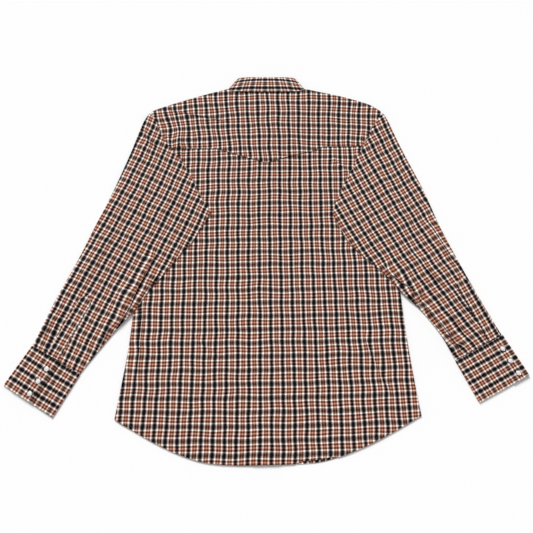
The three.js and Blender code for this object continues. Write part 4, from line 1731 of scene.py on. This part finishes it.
@dataclass(frozen=True)
class SleevePlan:
    """A sleeve's folds, its armhole seam across the back, and what lies on it."""

    word: str
    side: int
    outer: PlanCurve
    inner: PlanCurve
    seam: PlanCurve
    cuff: CuffPlan
    placket_across: float
    placket_width: float
    placket_length: float
    placket_lean: float
    placket_black: float  # where its dark warp stripe runs, from its middle line
    placket_rise: float  # how far its weft stripes stand above the sleeve's
    length: float
    gathers: tuple[tuple[float, float, float], ...]  # across the cuff, length, height
    ridges: tuple[Ridge, ...]
    creases: tuple[Crease, ...]
    plaid: Plaid

    def cuff_axes(self) -> tuple[np.ndarray, np.ndarray, np.ndarray]:
        """The cuff's outer upper corner, and the ways across it and up the sleeve.

        Returns:
            The corner and the two ways.
        """
        start = np.array(self.cuff.outer_top, float)
        across = np.array(self.cuff.inner_top, float) - start
        across /= np.linalg.norm(across)
        return start, across, np.array([-across[1], across[0]]) * -self.side

    def folds(self) -> tuple[Crease, ...]:
        """The sleeve's creases, with the gathers that run up from its cuff.

        Returns:
            The creases.
        """
        start, across, up = self.cuff_axes()
        gathered = []
        for number, (at, length, height) in enumerate(self.gathers):
            foot = start + across * at - up * 0.35 * length
            bend = across * (2.5 if number % 2 else -2.5)
            path = (foot, foot + up * 0.75 * length + bend, foot + up * 1.35 * length)
            steep = 1.9 if number % 2 else -1.9
            gathered.append(Crease(tuple(map(tuple, path)), 4.5, steep, height, 0.5, 0.3))
        return self.creases + tuple(gathered)

    def edge(self, y: np.ndarray) -> np.ndarray:
        """The body's edge on this side."""
        return (PLAN.left if self.side < 0 else PLAN.right).at(y)

    def upper(self, stations: np.ndarray, shares: np.ndarray) -> np.ndarray:
        """Places of the upper side for stations along and shares across.

        Args:
            stations: shares of the sleeve's length.
            shares: shares across it.

        Returns:
            The places.
        """
        out = self.outer.at(stations)[:, None]
        inn = self.inner.at(stations)[:, None]
        straight = lerp(out, inn, shares[..., None])
        first = lerp(self.outer.at(0.0), self.inner.at(0.0), shares[..., None])
        bend = self.seam.at(shares) - first
        return straight + bend * (1 - smooth(0, 0.3, stations))[:, None, None]

    def lower(self, stations: np.ndarray, shares: np.ndarray) -> np.ndarray:
        """Places of the underside, which starts on the front armhole.

        Args:
            stations: shares of the sleeve's length.
            shares: shares across it.

        Returns:
            The places.
        """
        split = 0.56
        top = lerp(337.0, PLAN.underarm_y, np.minimum(shares / split, 1))
        armhole = np.stack([self.edge(top) + self.side * 2.5, top], -1)
        corner = np.array([float(self.edge(PLAN.underarm_y)) + self.side * 2.5, PLAN.underarm_y])
        cross = lerp(corner, self.inner.at(0.0), ((shares - split) / (1 - split))[..., None])
        armhole = np.where((shares < split)[..., None], armhole, cross)
        start = self.upper(np.zeros(len(stations)), shares)
        fade = (1 - np.clip(stations / 0.5, 0, 1))[:, None, None]
        return self.upper(stations, shares) + (armhole - start) * fade

    def rest(self, plan: np.ndarray, over: bool) -> np.ndarray:
        """Height of the sleeve's underside, or of the bed of its upper side.

        Args:
            plan: places of the plan.
            over: whether they are on the upper side.

        Returns:
            The height at each.
        """
        x, y = plan[..., 0], plan[..., 1]
        on_body = 1 - smooth(12, 42, PLAN.outside(x, y))
        if not over:
            on_body = on_body * (1 - smooth(PLAN.underarm_y + 30, PLAN.underarm_y + 90, y))
        return lerp(0.5, PLAN.back_over(x, y) + SEAM_GAP + 0.8, on_body)


LEFT_SLEEVE = SleevePlan(
    word="left",
    side=-1,
    outer=PlanCurve(
        (
            (-265, 337), (-282, 303), (-303, 234), (-333, 146), (-367, 60), (-399, -22),
            (-434, -101), (-473, -202),
        )
    ),
    inner=PlanCurve(
        (
            (-118, 92), (-153, 29), (-182, -8), (-213, -50), (-241, -84), (-265, -122),
            (-291, -153), (-312, -178), (-349, -228), (-372, -260),
        )
    ),
    seam=PlanCurve(
        (
            (-265, 337), (-249, 317), (-232, 275), (-209, 243), (-189, 216), (-162, 170),
            (-145, 133), (-118, 92),
        )
    ),
    cuff=CuffPlan(
        outer_top=(-473, -202),
        outer_hem=(-521, -282),
        inner_hem=(-418, -345),
        inner_top=(-372, -260),
        free_edge=69,
        under_end=31,
        plaid=LEFT_CUFF_PLAID,
        flap_plaid=LEFT_FLAP_PLAID,
    ),
    placket_across=49,
    placket_width=26,
    placket_length=145,
    placket_lean=-4,
    placket_black=-7.2,
    placket_rise=5,
    length=590,
    gathers=((7, 24, 0.9), (20, 34, 1.2), (79, 30, 1.1), (90, 40, 1.3), (100, 26, 1.1)),
    ridges=(
        Ridge((-246, -20), (-322, -150), 9, 3.4),
        Ridge((-322, -150), (-352, -214), 8, 2.6),
        Ridge((-272, 250), (-318, 80), 24, 2.6),
        Ridge((-196, 160), (-250, 40), 22, 2.4),
        Ridge((-330, 60), (-388, -60), 20, 2.2),
        Ridge((-454, -140), (-470, -186), 7, 2.0),
    ),
    creases=(
        Crease(
            ((-231, 6), (-252, -45), (-268, -75), (-285, -125), (-299, -148), (-315, -180)),
            12, 1.9, 4.3, 0.9, 0.16,
        ),
        Crease(((-214, -30), (-240, -70), (-262, -104), (-282, -134)), 7, 1.7, 2.5, 0.6),
        Crease(((-284, -36), (-300, -80), (-322, -120)), 8, -2.2, 2.4, 0.5),
        Crease(((-318, -150), (-330, -186), (-350, -222)), 7, 1.9, 2.5, 0.5),
        Crease(((-338, -160), (-362, -210)), 6, -2.2, 1.7, 0.4),
        Crease(((-438, -124), (-449, -164), (-453, -186)), 6, 1.7, 2.8, 0.5),
        Crease(((-276, 302), (-262, 266), (-238, 248)), 7, -2.0, 2.8, 0.6),
        Crease(((-262, 312), (-268, 262), (-286, 208)), 9, 3.0, 1.4, 0.3),
        Crease(((-240, 230), (-262, 170), (-284, 96)), 11, 5.0, 1.3),
        Crease(((-300, 200), (-320, 130), (-346, 70)), 10, -4.0, 1.1),
        Crease(((-196, 150), (-206, 110), (-232, 60)), 9, 3.5, 1.5, 0.3),
        Crease(((-170, 90), (-206, 40), (-246, 2)), 9, -3.0, 1.5, 0.3),
        Crease(((-316, 60), (-346, 4), (-362, -40)), 9, 3.5, 1.4, 0.3),
        Crease(((-360, 20), (-384, -50), (-404, -96)), 9, -3.0, 1.4, 0.3),
        Crease(((-410, -110), (-430, -160), (-446, -196)), 8, -2.6, 1.5, 0.4),
    ),
    plaid=LEFT_SLEEVE_PLAID,
)
RIGHT_SLEEVE = SleevePlan(
    word="right",
    side=1,
    outer=PlanCurve(
        (
            (264, 337), (280, 303), (306, 234), (342, 146), (371, 60), (405, -22), (440, -101),
            (478, -180),
        )
    ),
    inner=PlanCurve(
        (
            (142, 85), (162, 44), (182, 12), (214, -20), (248, -51), (280, -90), (316, -127),
            (349, -172), (366, -204), (379, -232),
        )
    ),
    seam=PlanCurve(
        (
            (264, 337), (248, 317), (227, 276), (205, 233), (185, 188), (163, 147), (149, 110),
            (142, 85),
        )
    ),
    cuff=CuffPlan(
        outer_top=(478, -180),
        outer_hem=(522, -262),
        inner_hem=(419, -316),
        inner_top=(379, -232),
        free_edge=34,
        under_end=6,
        plaid=RIGHT_CUFF_PLAID,
        flap_plaid=RIGHT_CUFF_PLAID,
    ),
    placket_across=18,
    placket_width=28,
    placket_length=145,
    placket_lean=-3,
    placket_black=-8.7,
    placket_rise=-2,
    length=570,
    gathers=(
        (41, 34, 1.3), (52, 44, 1.5), (64, 30, 1.4),
        (75, 42, 1.5), (87, 30, 1.3), (98, 24, 1.1),
    ),
    ridges=(
        Ridge((348, 66), (404, -66), 9, 3.4),
        Ridge((294, 16), (384, -86), 10, 3.0),
        Ridge((384, -86), (462, -186), 9, 3.6),
        Ridge((276, -70), (336, -126), 8, 3.4),
        Ridge((336, -126), (400, -208), 8, 4.0),
        Ridge((300, -104), (366, -184), 7, 2.4),
        Ridge((236, 190), (300, 60), 24, 2.6),
        Ridge((196, 110), (250, 20), 20, 2.0),
    ),
    creases=(
        Crease(((338, 88), (360, 50), (376, 19), (391, -12), (412, -44)), 10, -1.9, 3.6, 0.8, 0.2),
        Crease(((291, 22), (313, -4), (330, -29), (351, -58), (362, -80)), 9, -2.0, 2.9, 0.6),
        Crease(((366, -12), (386, -42), (404, -72)), 7, -1.9, 2.5, 0.5),
        Crease(((392, -104), (409, -127), (427, -150)), 8, -2.0, 2.6, 0.5),
        Crease(
            ((244, -22), (262, -49), (292, -73), (317, -95), (328, -116)),
            9, -1.7, 4.6, 0.9, 0.2,
        ),
        Crease(
            ((312, -92), (328, -116), (345, -138), (361, -159), (376, -180), (394, -214)),
            9, -1.7, 4.6, 0.9, 0.14,
        ),
        Crease(
            ((264, -72), (287, -84), (296, -95), (320, -116), (340, -134)),
            6, -1.7, 3.5, 0.7, 0.2,
        ),
        Crease(((338, -154), (360, -172), (379, -188), (396, -206)), 6, -1.7, 3.2, 0.7, 0.15),
        Crease(((358, -178), (380, -201), (390, -216)), 4.5, -1.5, 2.5, 0.5, 0.15),
        Crease(((372, -120), (392, -158), (414, -198)), 7, -2.0, 3.1, 0.6),
        Crease(((306, -40), (336, -74), (366, -112)), 9, -3.0, 1.7, 0.4),
        Crease(((262, 300), (274, 250), (292, 200)), 10, -4.0, 1.3),
        Crease(((226, 226), (250, 170), (280, 116)), 11, -5.0, 1.3),
        Crease(((196, 150), (214, 104), (244, 56)), 9, -3.5, 1.5, 0.3),
        Crease(((300, 170), (322, 110), (330, 70)), 10, -4.0, 1.1),
        Crease(((176, 70), (206, 24), (236, -6)), 8, -3.0, 1.5, 0.3),
        Crease(((240, 30), (270, -16), (300, -44)), 9, -3.0, 1.4, 0.3),
    ),
    plaid=RIGHT_SLEEVE_PLAID,
)


@dataclass
class Sleeve:
    """A sleeve pressed flat, with its pointed placket, its cuff and their stitches."""

    finishes: Finishes
    plan: SleevePlan
    stations: int = 280
    across: int = 96
    below: int = 34
    height: float = 93.0  # of the cuff
    roll: float = 1.6  # how far a fold stands out past its flat sides
    placket_columns: Place = (1.6, 18.4)  # where stitches run up the placket's grid
    cuff_rows: Place = (2.8, 41.2)  # where they run along the cuff's grid
    drifts: tuple[Drift, ...] = (Drift(21, 80, 0.34), Drift(22, 34, 0.20), Drift(23, 14, 0.07))
    flats: dict[str, Place] = field(
        default_factory=lambda: {
            "sleeve": (0.60, 0.60),
            "placket": (0.030, 0.145),
            "cuff": (0.290, 0.093),
        }
    )

    def calm(self, stations: np.ndarray, shares: np.ndarray, width: np.ndarray) -> np.ndarray:
        """Flat ground under the placket, 0 there and 1 away from it.

        Args:
            stations: shares of the sleeve's length.
            shares: shares across it.
            width: the sleeve's width at each station.

        Returns:
            The share at each.
        """
        p = self.plan
        near = smooth(0.6, 0.78, stations)[:, None]
        offset = np.abs(shares * width[:, None] - p.placket_across * (width / 114)[:, None])
        return 1 - near * (1 - smooth(p.placket_width * 0.6, p.placket_width * 1.1, offset))

    def spread(self, count: int, width: np.ndarray) -> np.ndarray:
        """Shares across the sleeve, closer together near its folds.

        Args:
            count: how many.
            width: the sleeve's width at each station.

        Returns:
            The shares at each station.
        """
        inset = (self.roll / width)[:, None]
        t = lerp(0.12, 0.88, np.linspace(0, 1, count))
        even = 0.5 - 0.5 * np.cos(math.pi * t) / math.cos(0.12 * math.pi)
        return lerp(inset, 1 - inset, even[None, :])

    def rings(self) -> tuple[np.ndarray, np.ndarray, int]:
        """The sleeve's middle surface, and the plan it unrolls to.

        Returns:
            Rings along the sleeve from the inner fold over the upper side and back under,
            the same rings unrolled for the plaid, and how many places the upper side has.
        """
        p = self.plan
        stations = np.linspace(0, 0.9985 ** (1 / 1.14), self.stations) ** 1.14
        outer, inner = p.outer.at(stations), p.inner.at(stations)
        width = np.hypot(*(outer - inner).T)
        shares, hidden = self.spread(self.across, width), self.spread(self.below, width)
        over, under = p.upper(stations, shares), p.lower(stations, hidden)
        x, y = over[..., 0], over[..., 1]
        from_seam = (stations * p.length)[:, None]
        lift = 0.15 + 1.8 * smooth(0, 1.8, from_seam)
        lift = lift + (PLAN.layer - 1.5) * smooth(6, 26, from_seam)
        from_fold = np.minimum(shares, 1 - shares) * width[:, None]
        calm = self.calm(stations, shares, width)
        wave = np.sin(shares * 118) + 0.7 * np.sin(shares * 71 + 1.3) + 0.5 * np.sin(shares * 190)
        pucker = 0.16 * wave * np.exp(-(((from_seam - 4) / 7) ** 2))
        broad = height_of(p.ridges, x, y) * smooth(0, 60, from_seam) * smooth(3, 20, from_fold)
        small = height_of(self.drifts, x, y) + 0.3
        free = smooth(0.5, 9, from_fold) * smooth(5, 30, from_seam)
        move = creased(p.folds(), x, y) * free[..., None]
        move[..., 2] += small * smooth(1, 12, from_fold) * smooth(4, 30, from_seam) + broad
        move *= calm[..., None]
        high = p.rest(over, True) + lift + pucker
        over3 = np.concatenate([over, high[..., None]], -1) + move[..., :3]
        under3 = np.concatenate([under, p.rest(under, False)[..., None]], -1)
        outward = outer - inner
        outward = outward / np.linalg.norm(outward, axis=1, keepdims=True)
        outward = np.concatenate([outward, np.zeros((len(stations), 1))], 1)

        def fold(low: np.ndarray, top: np.ndarray, way: np.ndarray) -> np.ndarray:
            """The rounded edge of the sleeve.

            Args:
                low: places at the edge of its underside.
                top: places at the edge of its upper side.
                way: the way out of the sleeve at each.

            Returns:
                Rings of places from the underside to the upper side.
            """
            angle = np.radians(np.array([-72, -48, -24, 0, 24, 48, 72]))[None, :, None]
            rise = ((top - low)[:, 2] / 2)[:, None, None]
            ring = lerp(low[:, None], top[:, None], 0.5 + 0.5 * np.sin(angle))
            return ring + way[:, None] * np.minimum(rise, self.roll) * np.cos(angle)

        outer_fold = fold(under3[:, 0], over3[:, 0], outward)
        inner_fold = fold(under3[:, -1], over3[:, -1], -outward)
        ring = np.concatenate(
            [
                inner_fold[:, 3:],
                over3[:, ::-1],
                outer_fold[:, ::-1],
                under3,
                inner_fold[:, :3],
            ],
            axis=1,
        )
        first = inner_fold[:, 3:].shape[1]
        steps = np.linalg.norm(np.diff(ring, axis=1, append=ring[:, :1]), axis=2)
        gone = run_of(steps)
        unrolled = np.concatenate([ring[..., :2], ring[:, :1, :2]], 1)
        unrolled[:, first : first + self.across] = (over - move[..., 3:])[:, ::-1]
        last = first + self.across - 1
        way = outward[:, None, :2]
        beyond = (gone[:, last:] - gone[:, last : last + 1])[..., None]
        unrolled[:, last:] = unrolled[:, last : last + 1] + way * beyond
        before = (gone[:, first : first + 1] - gone[:, :first])[..., None]
        unrolled[:, :first] = unrolled[:, first : first + 1] - way * before
        return ring, unrolled, first

    def sheet(self) -> tuple[ClothSheet, np.ndarray]:
        """The sleeve as a tube of cloth, and its upper side alone.

        Returns:
            The sheet, and the places of its upper side.
        """
        ring, unrolled, first = self.rings()
        places = np.moveaxis(ring, 1, 0)
        plaid = self.plan.plaid.at(np.moveaxis(unrolled, 1, 0))
        name = f"shirt_sleeve_{self.plan.word}"
        upper = places[first : first + self.across]
        return ClothSheet(name, places, plaid, SHEET, tube=True), upper

    def placket(self, upper: np.ndarray) -> ClothSheet:
        """The pointed strip over the sleeve's slit, laid on the sleeve.

        Args:
            upper: the sleeve's upper side.

        Returns:
            The strip as a sheet.
        """
        p = self.plan
        start, across, up = p.cuff_axes()
        tilt = math.radians(p.placket_lean * p.side)
        turn = np.array([[math.cos(tilt), -math.sin(tilt)], [math.sin(tilt), math.cos(tilt)]])
        foot = start + across * p.placket_across + up * 1.5
        up, side = turn @ up, turn @ across
        shares = np.linspace(-0.5, 0.5, 21)
        top = p.placket_length - p.placket_width * 0.55 * np.abs(shares) * 2
        rise = np.linspace(0, 1, 90)
        plan = (
            foot
            + side * (shares * p.placket_width)[:, None, None]
            + up * (top[:, None] * rise[None, :])[..., None]
        )
        cloud = upper.reshape(-1, 3)
        near = cloud[np.linalg.norm(cloud[:, :2] - (foot + up * 70), axis=1) < 130]
        apart = np.linalg.norm(plan[:, :, None, :] - near[None, None, :, :2], axis=-1)
        weight = np.exp(-((apart / 3.2) ** 2))
        z = (weight * near[:, 2]).sum(-1) / weight.sum(-1)
        from_edge = p.placket_width * (0.5 - np.abs(shares))
        z = z + 1.15 - 0.25 * (1 - smooth(0, 1.6, from_edge))[:, None]
        plaid = p.plaid.at(plan - up * p.placket_rise)
        plaid[..., 0] = ((shares * p.placket_width - p.placket_black) / WARP_REPEAT)[:, None]
        places = np.concatenate([plan, z[..., None]], -1)
        return ClothSheet(f"shirt_sleeve_placket_{p.word}", places, plaid, 0.8)

    def cuff(self) -> ClothSheet:
        """The cuff as a strip, from its free edge round both folds to its hidden end.

        Returns:
            The sheet.
        """
        cuff = self.plan.cuff
        low, rise = 0.7, 1.7
        radius = rise / 2
        width = cuff.width()

        def overlap_z(across: np.ndarray) -> np.ndarray:
            """Height of the upper layer, which rises over the hidden end."""
            return low + rise * (1 + smooth(cuff.under_end - 20, cuff.under_end - 5, across))

        def bend(middle: float, side: int, size: float) -> list[Place]:
            """Places round a fold, from low to high.

            Args:
                middle: where the fold begins, across the cuff.
                side: -1 where it bulges to the outer edge, 1 to the inner.
                size: its radius.

            Returns:
                The places, across the cuff and up.
            """
            angles = [math.radians(degrees) for degrees in (-67, -45, -22, 0, 22, 45, 67)]
            return [
                (middle + side * size * math.cos(angle), low + size * (1 + math.sin(angle)))
                for angle in angles
            ]

        path = [(a, float(overlap_z(a))) for a in np.linspace(cuff.free_edge, radius, 40)]
        outer_rise = (float(overlap_z(radius)) - low) / 2
        path += bend(radius, -1, outer_rise)[::-1]
        path += [(a, low) for a in np.linspace(radius, width - radius, 60)]
        turn = len(path)
        path += bend(width - radius, 1, radius)
        path += [(a, low + rise) for a in np.linspace(width - radius, cuff.under_end, 50)]
        line = np.array(path)
        down = np.linspace(SEAM_GAP / self.height, 1, 45)
        plan = cuff.place(line[:, 0][:, None] + 0 * down, np.broadcast_to(down, (len(line), 45)))
        z = np.broadcast_to(line[:, 1][:, None], plan.shape[:2]).copy()
        under = np.arange(len(line)) >= turn
        edge = np.minimum(down, 1 - down)[None, :] * self.height
        z -= 0.22 * np.exp(-((edge - 5.5) / 1.3) ** 2) * np.where(z > low + 1, 1, 0)
        plaid = np.where(under[:, None, None], cuff.plaid.at(plan), cuff.flap_plaid.at(plan))
        places = np.concatenate([plan, z[..., None]], -1)
        return ClothSheet(f"shirt_cuff_{self.plan.word}", places, plaid, 1.15)

    def build(self) -> None:
        """Makes the sleeve, the placket, the cuff and their stitches.

        Returns:
            None. The pieces stand in the scene.
        """
        word = self.plan.word
        sleeve, upper = self.sheet()
        piece = finish_piece(sleeve.build(self.finishes.cotton), Slot.PLAID, f"sleeve_{word}")
        LOG.info("sleeve area %.4f", sleeve.area())
        sleeve.area()
        placket = self.placket(upper)
        strip = placket.build(self.finishes.cotton)
        piece = finish_piece(strip, Slot.PLAID, f"sleeve_placket_{word}")
        rows = Topstitching(f"stitches_placket_{word}")
        count = placket.places.shape[1] - 1
        for column in self.placket_columns:
            at = np.arange(1, count - 3, 0.5)
            rows.add(placket, np.full(at.shape, column), at)
        stitches = rows.build(self.finishes.thread, StitchRow())
        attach(stitches, "root")
        LOG.info("placket area %.5f", placket.area())
        placket.area()
        cuff = self.cuff()
        piece = finish_piece(cuff.build(self.finishes.cotton), Slot.PLAID, f"cuff_{word}")
        rows = Topstitching(f"stitches_cuff_{word}")
        for row in self.cuff_rows:
            at = np.arange(0.8, 38, 0.4)
            rows.add(cuff, at, np.full(at.shape, row))
            at = np.arange(112, 160, 0.5)
            rows.add(cuff, at, np.full(at.shape, row))
        at = np.arange(*self.cuff_rows, 0.4)
        rows.add(cuff, np.full(at.shape, 3.0), at)
        stitches = rows.build(self.finishes.thread, StitchRow())
        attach(stitches, "root")
        LOG.info("cuff area %.5f", cuff.area())
        cuff.area()


# Snaps


@dataclass
class Snap:
    """A pearl snap in its metal rim, modelled once and copied to its places."""

    finishes: Finishes
    radius: float = 5.6
    rim_width: float = 1.15
    cuff_height: float = 1.75  # from back to face, on the cuffs
    front_height: float = 0.8  # and on the front, which lies on the table
    base: bpy.types.Object | None = None
    ring: bpy.types.Object | None = None

    def model(self) -> None:
        """Shapes the cap and the rim at the plan's zero, face up, one millimetre high.

        Returns:
            None. They are kept as base and ring.
        """
        bpy.ops.object.select_all(action="DESELECT")
        inner = self.radius - self.rim_width
        bpy.ops.mesh.primitive_cylinder_add(
            vertices=40, radius=(inner + 0.3) * MM, depth=0.5 * MM, location=(0, 0, 0.25 * MM)
        )
        cap = bpy.context.object
        self.to_mesh_place(cap)
        bpy.ops.object.mode_set(mode="EDIT")
        self.pick(cap, lambda face: face.normal.z > 0.9)
        for inset, rise in ((0.5, 0.16), (0.7, 0.12), (1.0, 0.10), (1.1, 0.06)):
            bpy.ops.mesh.inset(thickness=inset * MM, depth=0)
            bpy.ops.transform.translate(value=(0, 0, rise * MM))
        bpy.ops.mesh.poke()
        bpy.ops.object.mode_set(mode="OBJECT")
        bpy.ops.object.shade_smooth_by_angle(angle=math.radians(50))
        cap.data.materials.append(self.finishes.pearl)
        self.base = cap

        bpy.ops.object.select_all(action="DESELECT")
        tube = self.rim_width / 2
        bpy.ops.mesh.primitive_torus_add(
            major_segments=40,
            minor_segments=10,
            major_radius=(self.radius - tube) * MM,
            minor_radius=tube * MM,
            location=(0, 0, 0.5 * MM),
        )
        rim = bpy.context.object
        self.to_mesh_place(rim)
        bpy.ops.object.mode_set(mode="EDIT")
        self.pick(rim, lambda face: face.calc_center_median().z < 0.25 * MM)
        bpy.ops.transform.resize(value=(1, 1, 0.4), center_override=(0, 0, 0))
        bpy.ops.object.mode_set(mode="OBJECT")
        bpy.ops.object.shade_smooth_by_angle(angle=math.radians(50))
        rim.data.materials.append(self.finishes.rim)
        self.ring = rim

    def to_mesh_place(self, piece: bpy.types.Object) -> None:
        """Moves a piece's place into its mesh."""
        only(piece)
        bpy.ops.object.transform_apply(location=True, rotation=True, scale=True)

    def pick(self, piece: bpy.types.Object, wanted: Callable[[bmesh.types.BMFace], bool]) -> None:
        """Selects the faces that meet a test, in edit mode.

        Args:
            piece: the mesh in edit mode.
            wanted: the test.
        """
        bpy.ops.mesh.select_all(action="DESELECT")
        form = bmesh.from_edit_mesh(piece.data)
        bpy.context.tool_settings.mesh_select_mode = (False, False, True)
        for face in form.faces:
            face.select = bool(wanted(face))
        form.select_flush_mode()
        bmesh.update_edit_mesh(piece.data)

    def put(self, node: str, height: float, up: bool) -> None:
        """Copies the snap to where a CAD node stands.

        Args:
            node: the CAD node that it stands for.
            height: millimetres from its back to its face.
            up: whether it faces up.
        """
        low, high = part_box(node)
        centre = (Vector(low) + Vector(high)) / 2
        for source, slot, name, nodes in (
            (self.base, Slot.PEARL, node.replace("snap", "snap_cap"), (node,)),
            (self.ring, Slot.RIM, node.replace("snap", "snap_ring"), ()),
        ):
            piece = source.copy()
            piece.data = source.data.copy()
            piece.name = piece.data.name = name
            bpy.context.scene.collection.objects.link(piece)
            only(piece)
            piece.scale = (1, 1, height)
            if not up:
                piece.rotation_euler = (math.pi, 0, 0)
            foot = low[2] if up else high[2]
            piece.location = (centre.x, centre.y, foot)
            bpy.ops.object.transform_apply(location=True, rotation=True, scale=True)
            finish_piece(piece, slot, *nodes)

    def clear(self) -> None:
        """Removes the models that were copied."""
        for piece in (self.base, self.ring):
            bpy.data.objects.remove(piece, do_unlink=True)

    def build(self) -> None:
        """Puts a snap at each of the shirt's snap places.

        Returns:
            None. The pieces stand in the scene.
        """
        self.model()
        for word in ("left", "right"):
            for number in (1, 2, 3):
                self.put(f"snap_cuff_{word}_{number}", self.cuff_height, True)
        for number in range(8):
            self.put(f"snap_front_{number}", self.front_height, False)
        self.clear()


# Floor, light and camera


@dataclass
class Studio:
    """A plain pale floor, soft light and the camera."""

    aim: tuple[float, float, float] = (-0.9, -29.5, 0.0)
    back: tuple[float, float, float] = (0.0, -532.2, 1462.2)
    lens: float = 50.05
    ambient: float = 0.47
    window: float = 2.95
    window_way: tuple[float, float, float] = (-0.26, 0.72, 0.62)
    window_spread: float = 26  # degrees, for soft shadows
    floor_size: float = 14.0  # metres
    floor_z: float = -0.0006  # just clear of the cloth
    clip: Place = (0.05, 30)

    def floor(self) -> None:
        """Lays the floor just under the shirt.

        Returns:
            None. It is part of the stage.
        """
        bpy.ops.object.select_all(action="DESELECT")
        bpy.ops.mesh.primitive_plane_add(size=self.floor_size, location=(0, 0, self.floor_z))
        floor = bpy.context.object
        floor.name = "floor"
        bpy.ops.object.transform_apply(location=True)
        graph = Graph("pale_floor")
        paint = {"Base Color": (0.93, 0.93, 0.93, 1), "Roughness": 0.9, "Specular IOR Level": 0.1}
        floor.data.materials.append(graph.surface(paint))

    def light(self) -> None:
        """Hangs the lights and sets the soft surround.

        Returns:
            None. They stand in the scene.
        """
        world = bpy.context.scene.world or bpy.data.worlds.new("surround")
        bpy.context.scene.world = world
        world.use_nodes = True
        shade = world.node_tree.nodes["Background"]
        shade.inputs["Color"].default_value = (1.0, 1.0, 1.0, 1.0)
        shade.inputs["Strength"].default_value = self.ambient
        data = bpy.data.lights.new("window", "SUN")
        data.energy = self.window
        data.angle = math.radians(self.window_spread)
        lamp = bpy.data.objects.new("window", data)
        lamp.rotation_euler = (-Vector(self.window_way)).to_track_quat("-Z", "Y").to_euler()
        bpy.context.scene.collection.objects.link(lamp)

    def camera(self) -> None:
        """Stands the camera where the view is taken from.

        Returns:
            None. It is the scene's camera.
        """
        data = bpy.data.cameras.new("camera")
        data.sensor_width = 36.0
        data.lens = self.lens
        data.clip_start, data.clip_end = self.clip
        camera = bpy.data.objects.new("camera", data)
        back = Vector(self.back) * MM
        camera.location = Vector(self.aim) * MM + back
        camera.rotation_euler = (-back).to_track_quat("-Z", "Y").to_euler()
        bpy.context.scene.collection.objects.link(camera)
        bpy.context.scene.camera = camera

    def build(self) -> None:
        """Sets up the floor, the light and the camera.

        Returns:
            None. They stand in the scene.
        """
        self.floor()
        self.light()
        self.camera()
        bpy.context.scene.view_settings.view_transform = "Standard"


def main() -> None:
    """Builds the shirt piece by piece, then its surroundings.

    Returns: None.
    """
    logging.basicConfig(level=logging.INFO, format="%(name)s: %(message)s")
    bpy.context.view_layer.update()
    finishes = Finishes()
    Fronts(finishes).build()
    Back(finishes).build()
    Collar(finishes).build()
    for plan in (LEFT_SLEEVE, RIGHT_SLEEVE):
        Sleeve(finishes, plan).build()
    Snap(finishes).build()
    Studio().build()


if __name__ == "__main__":
    main()
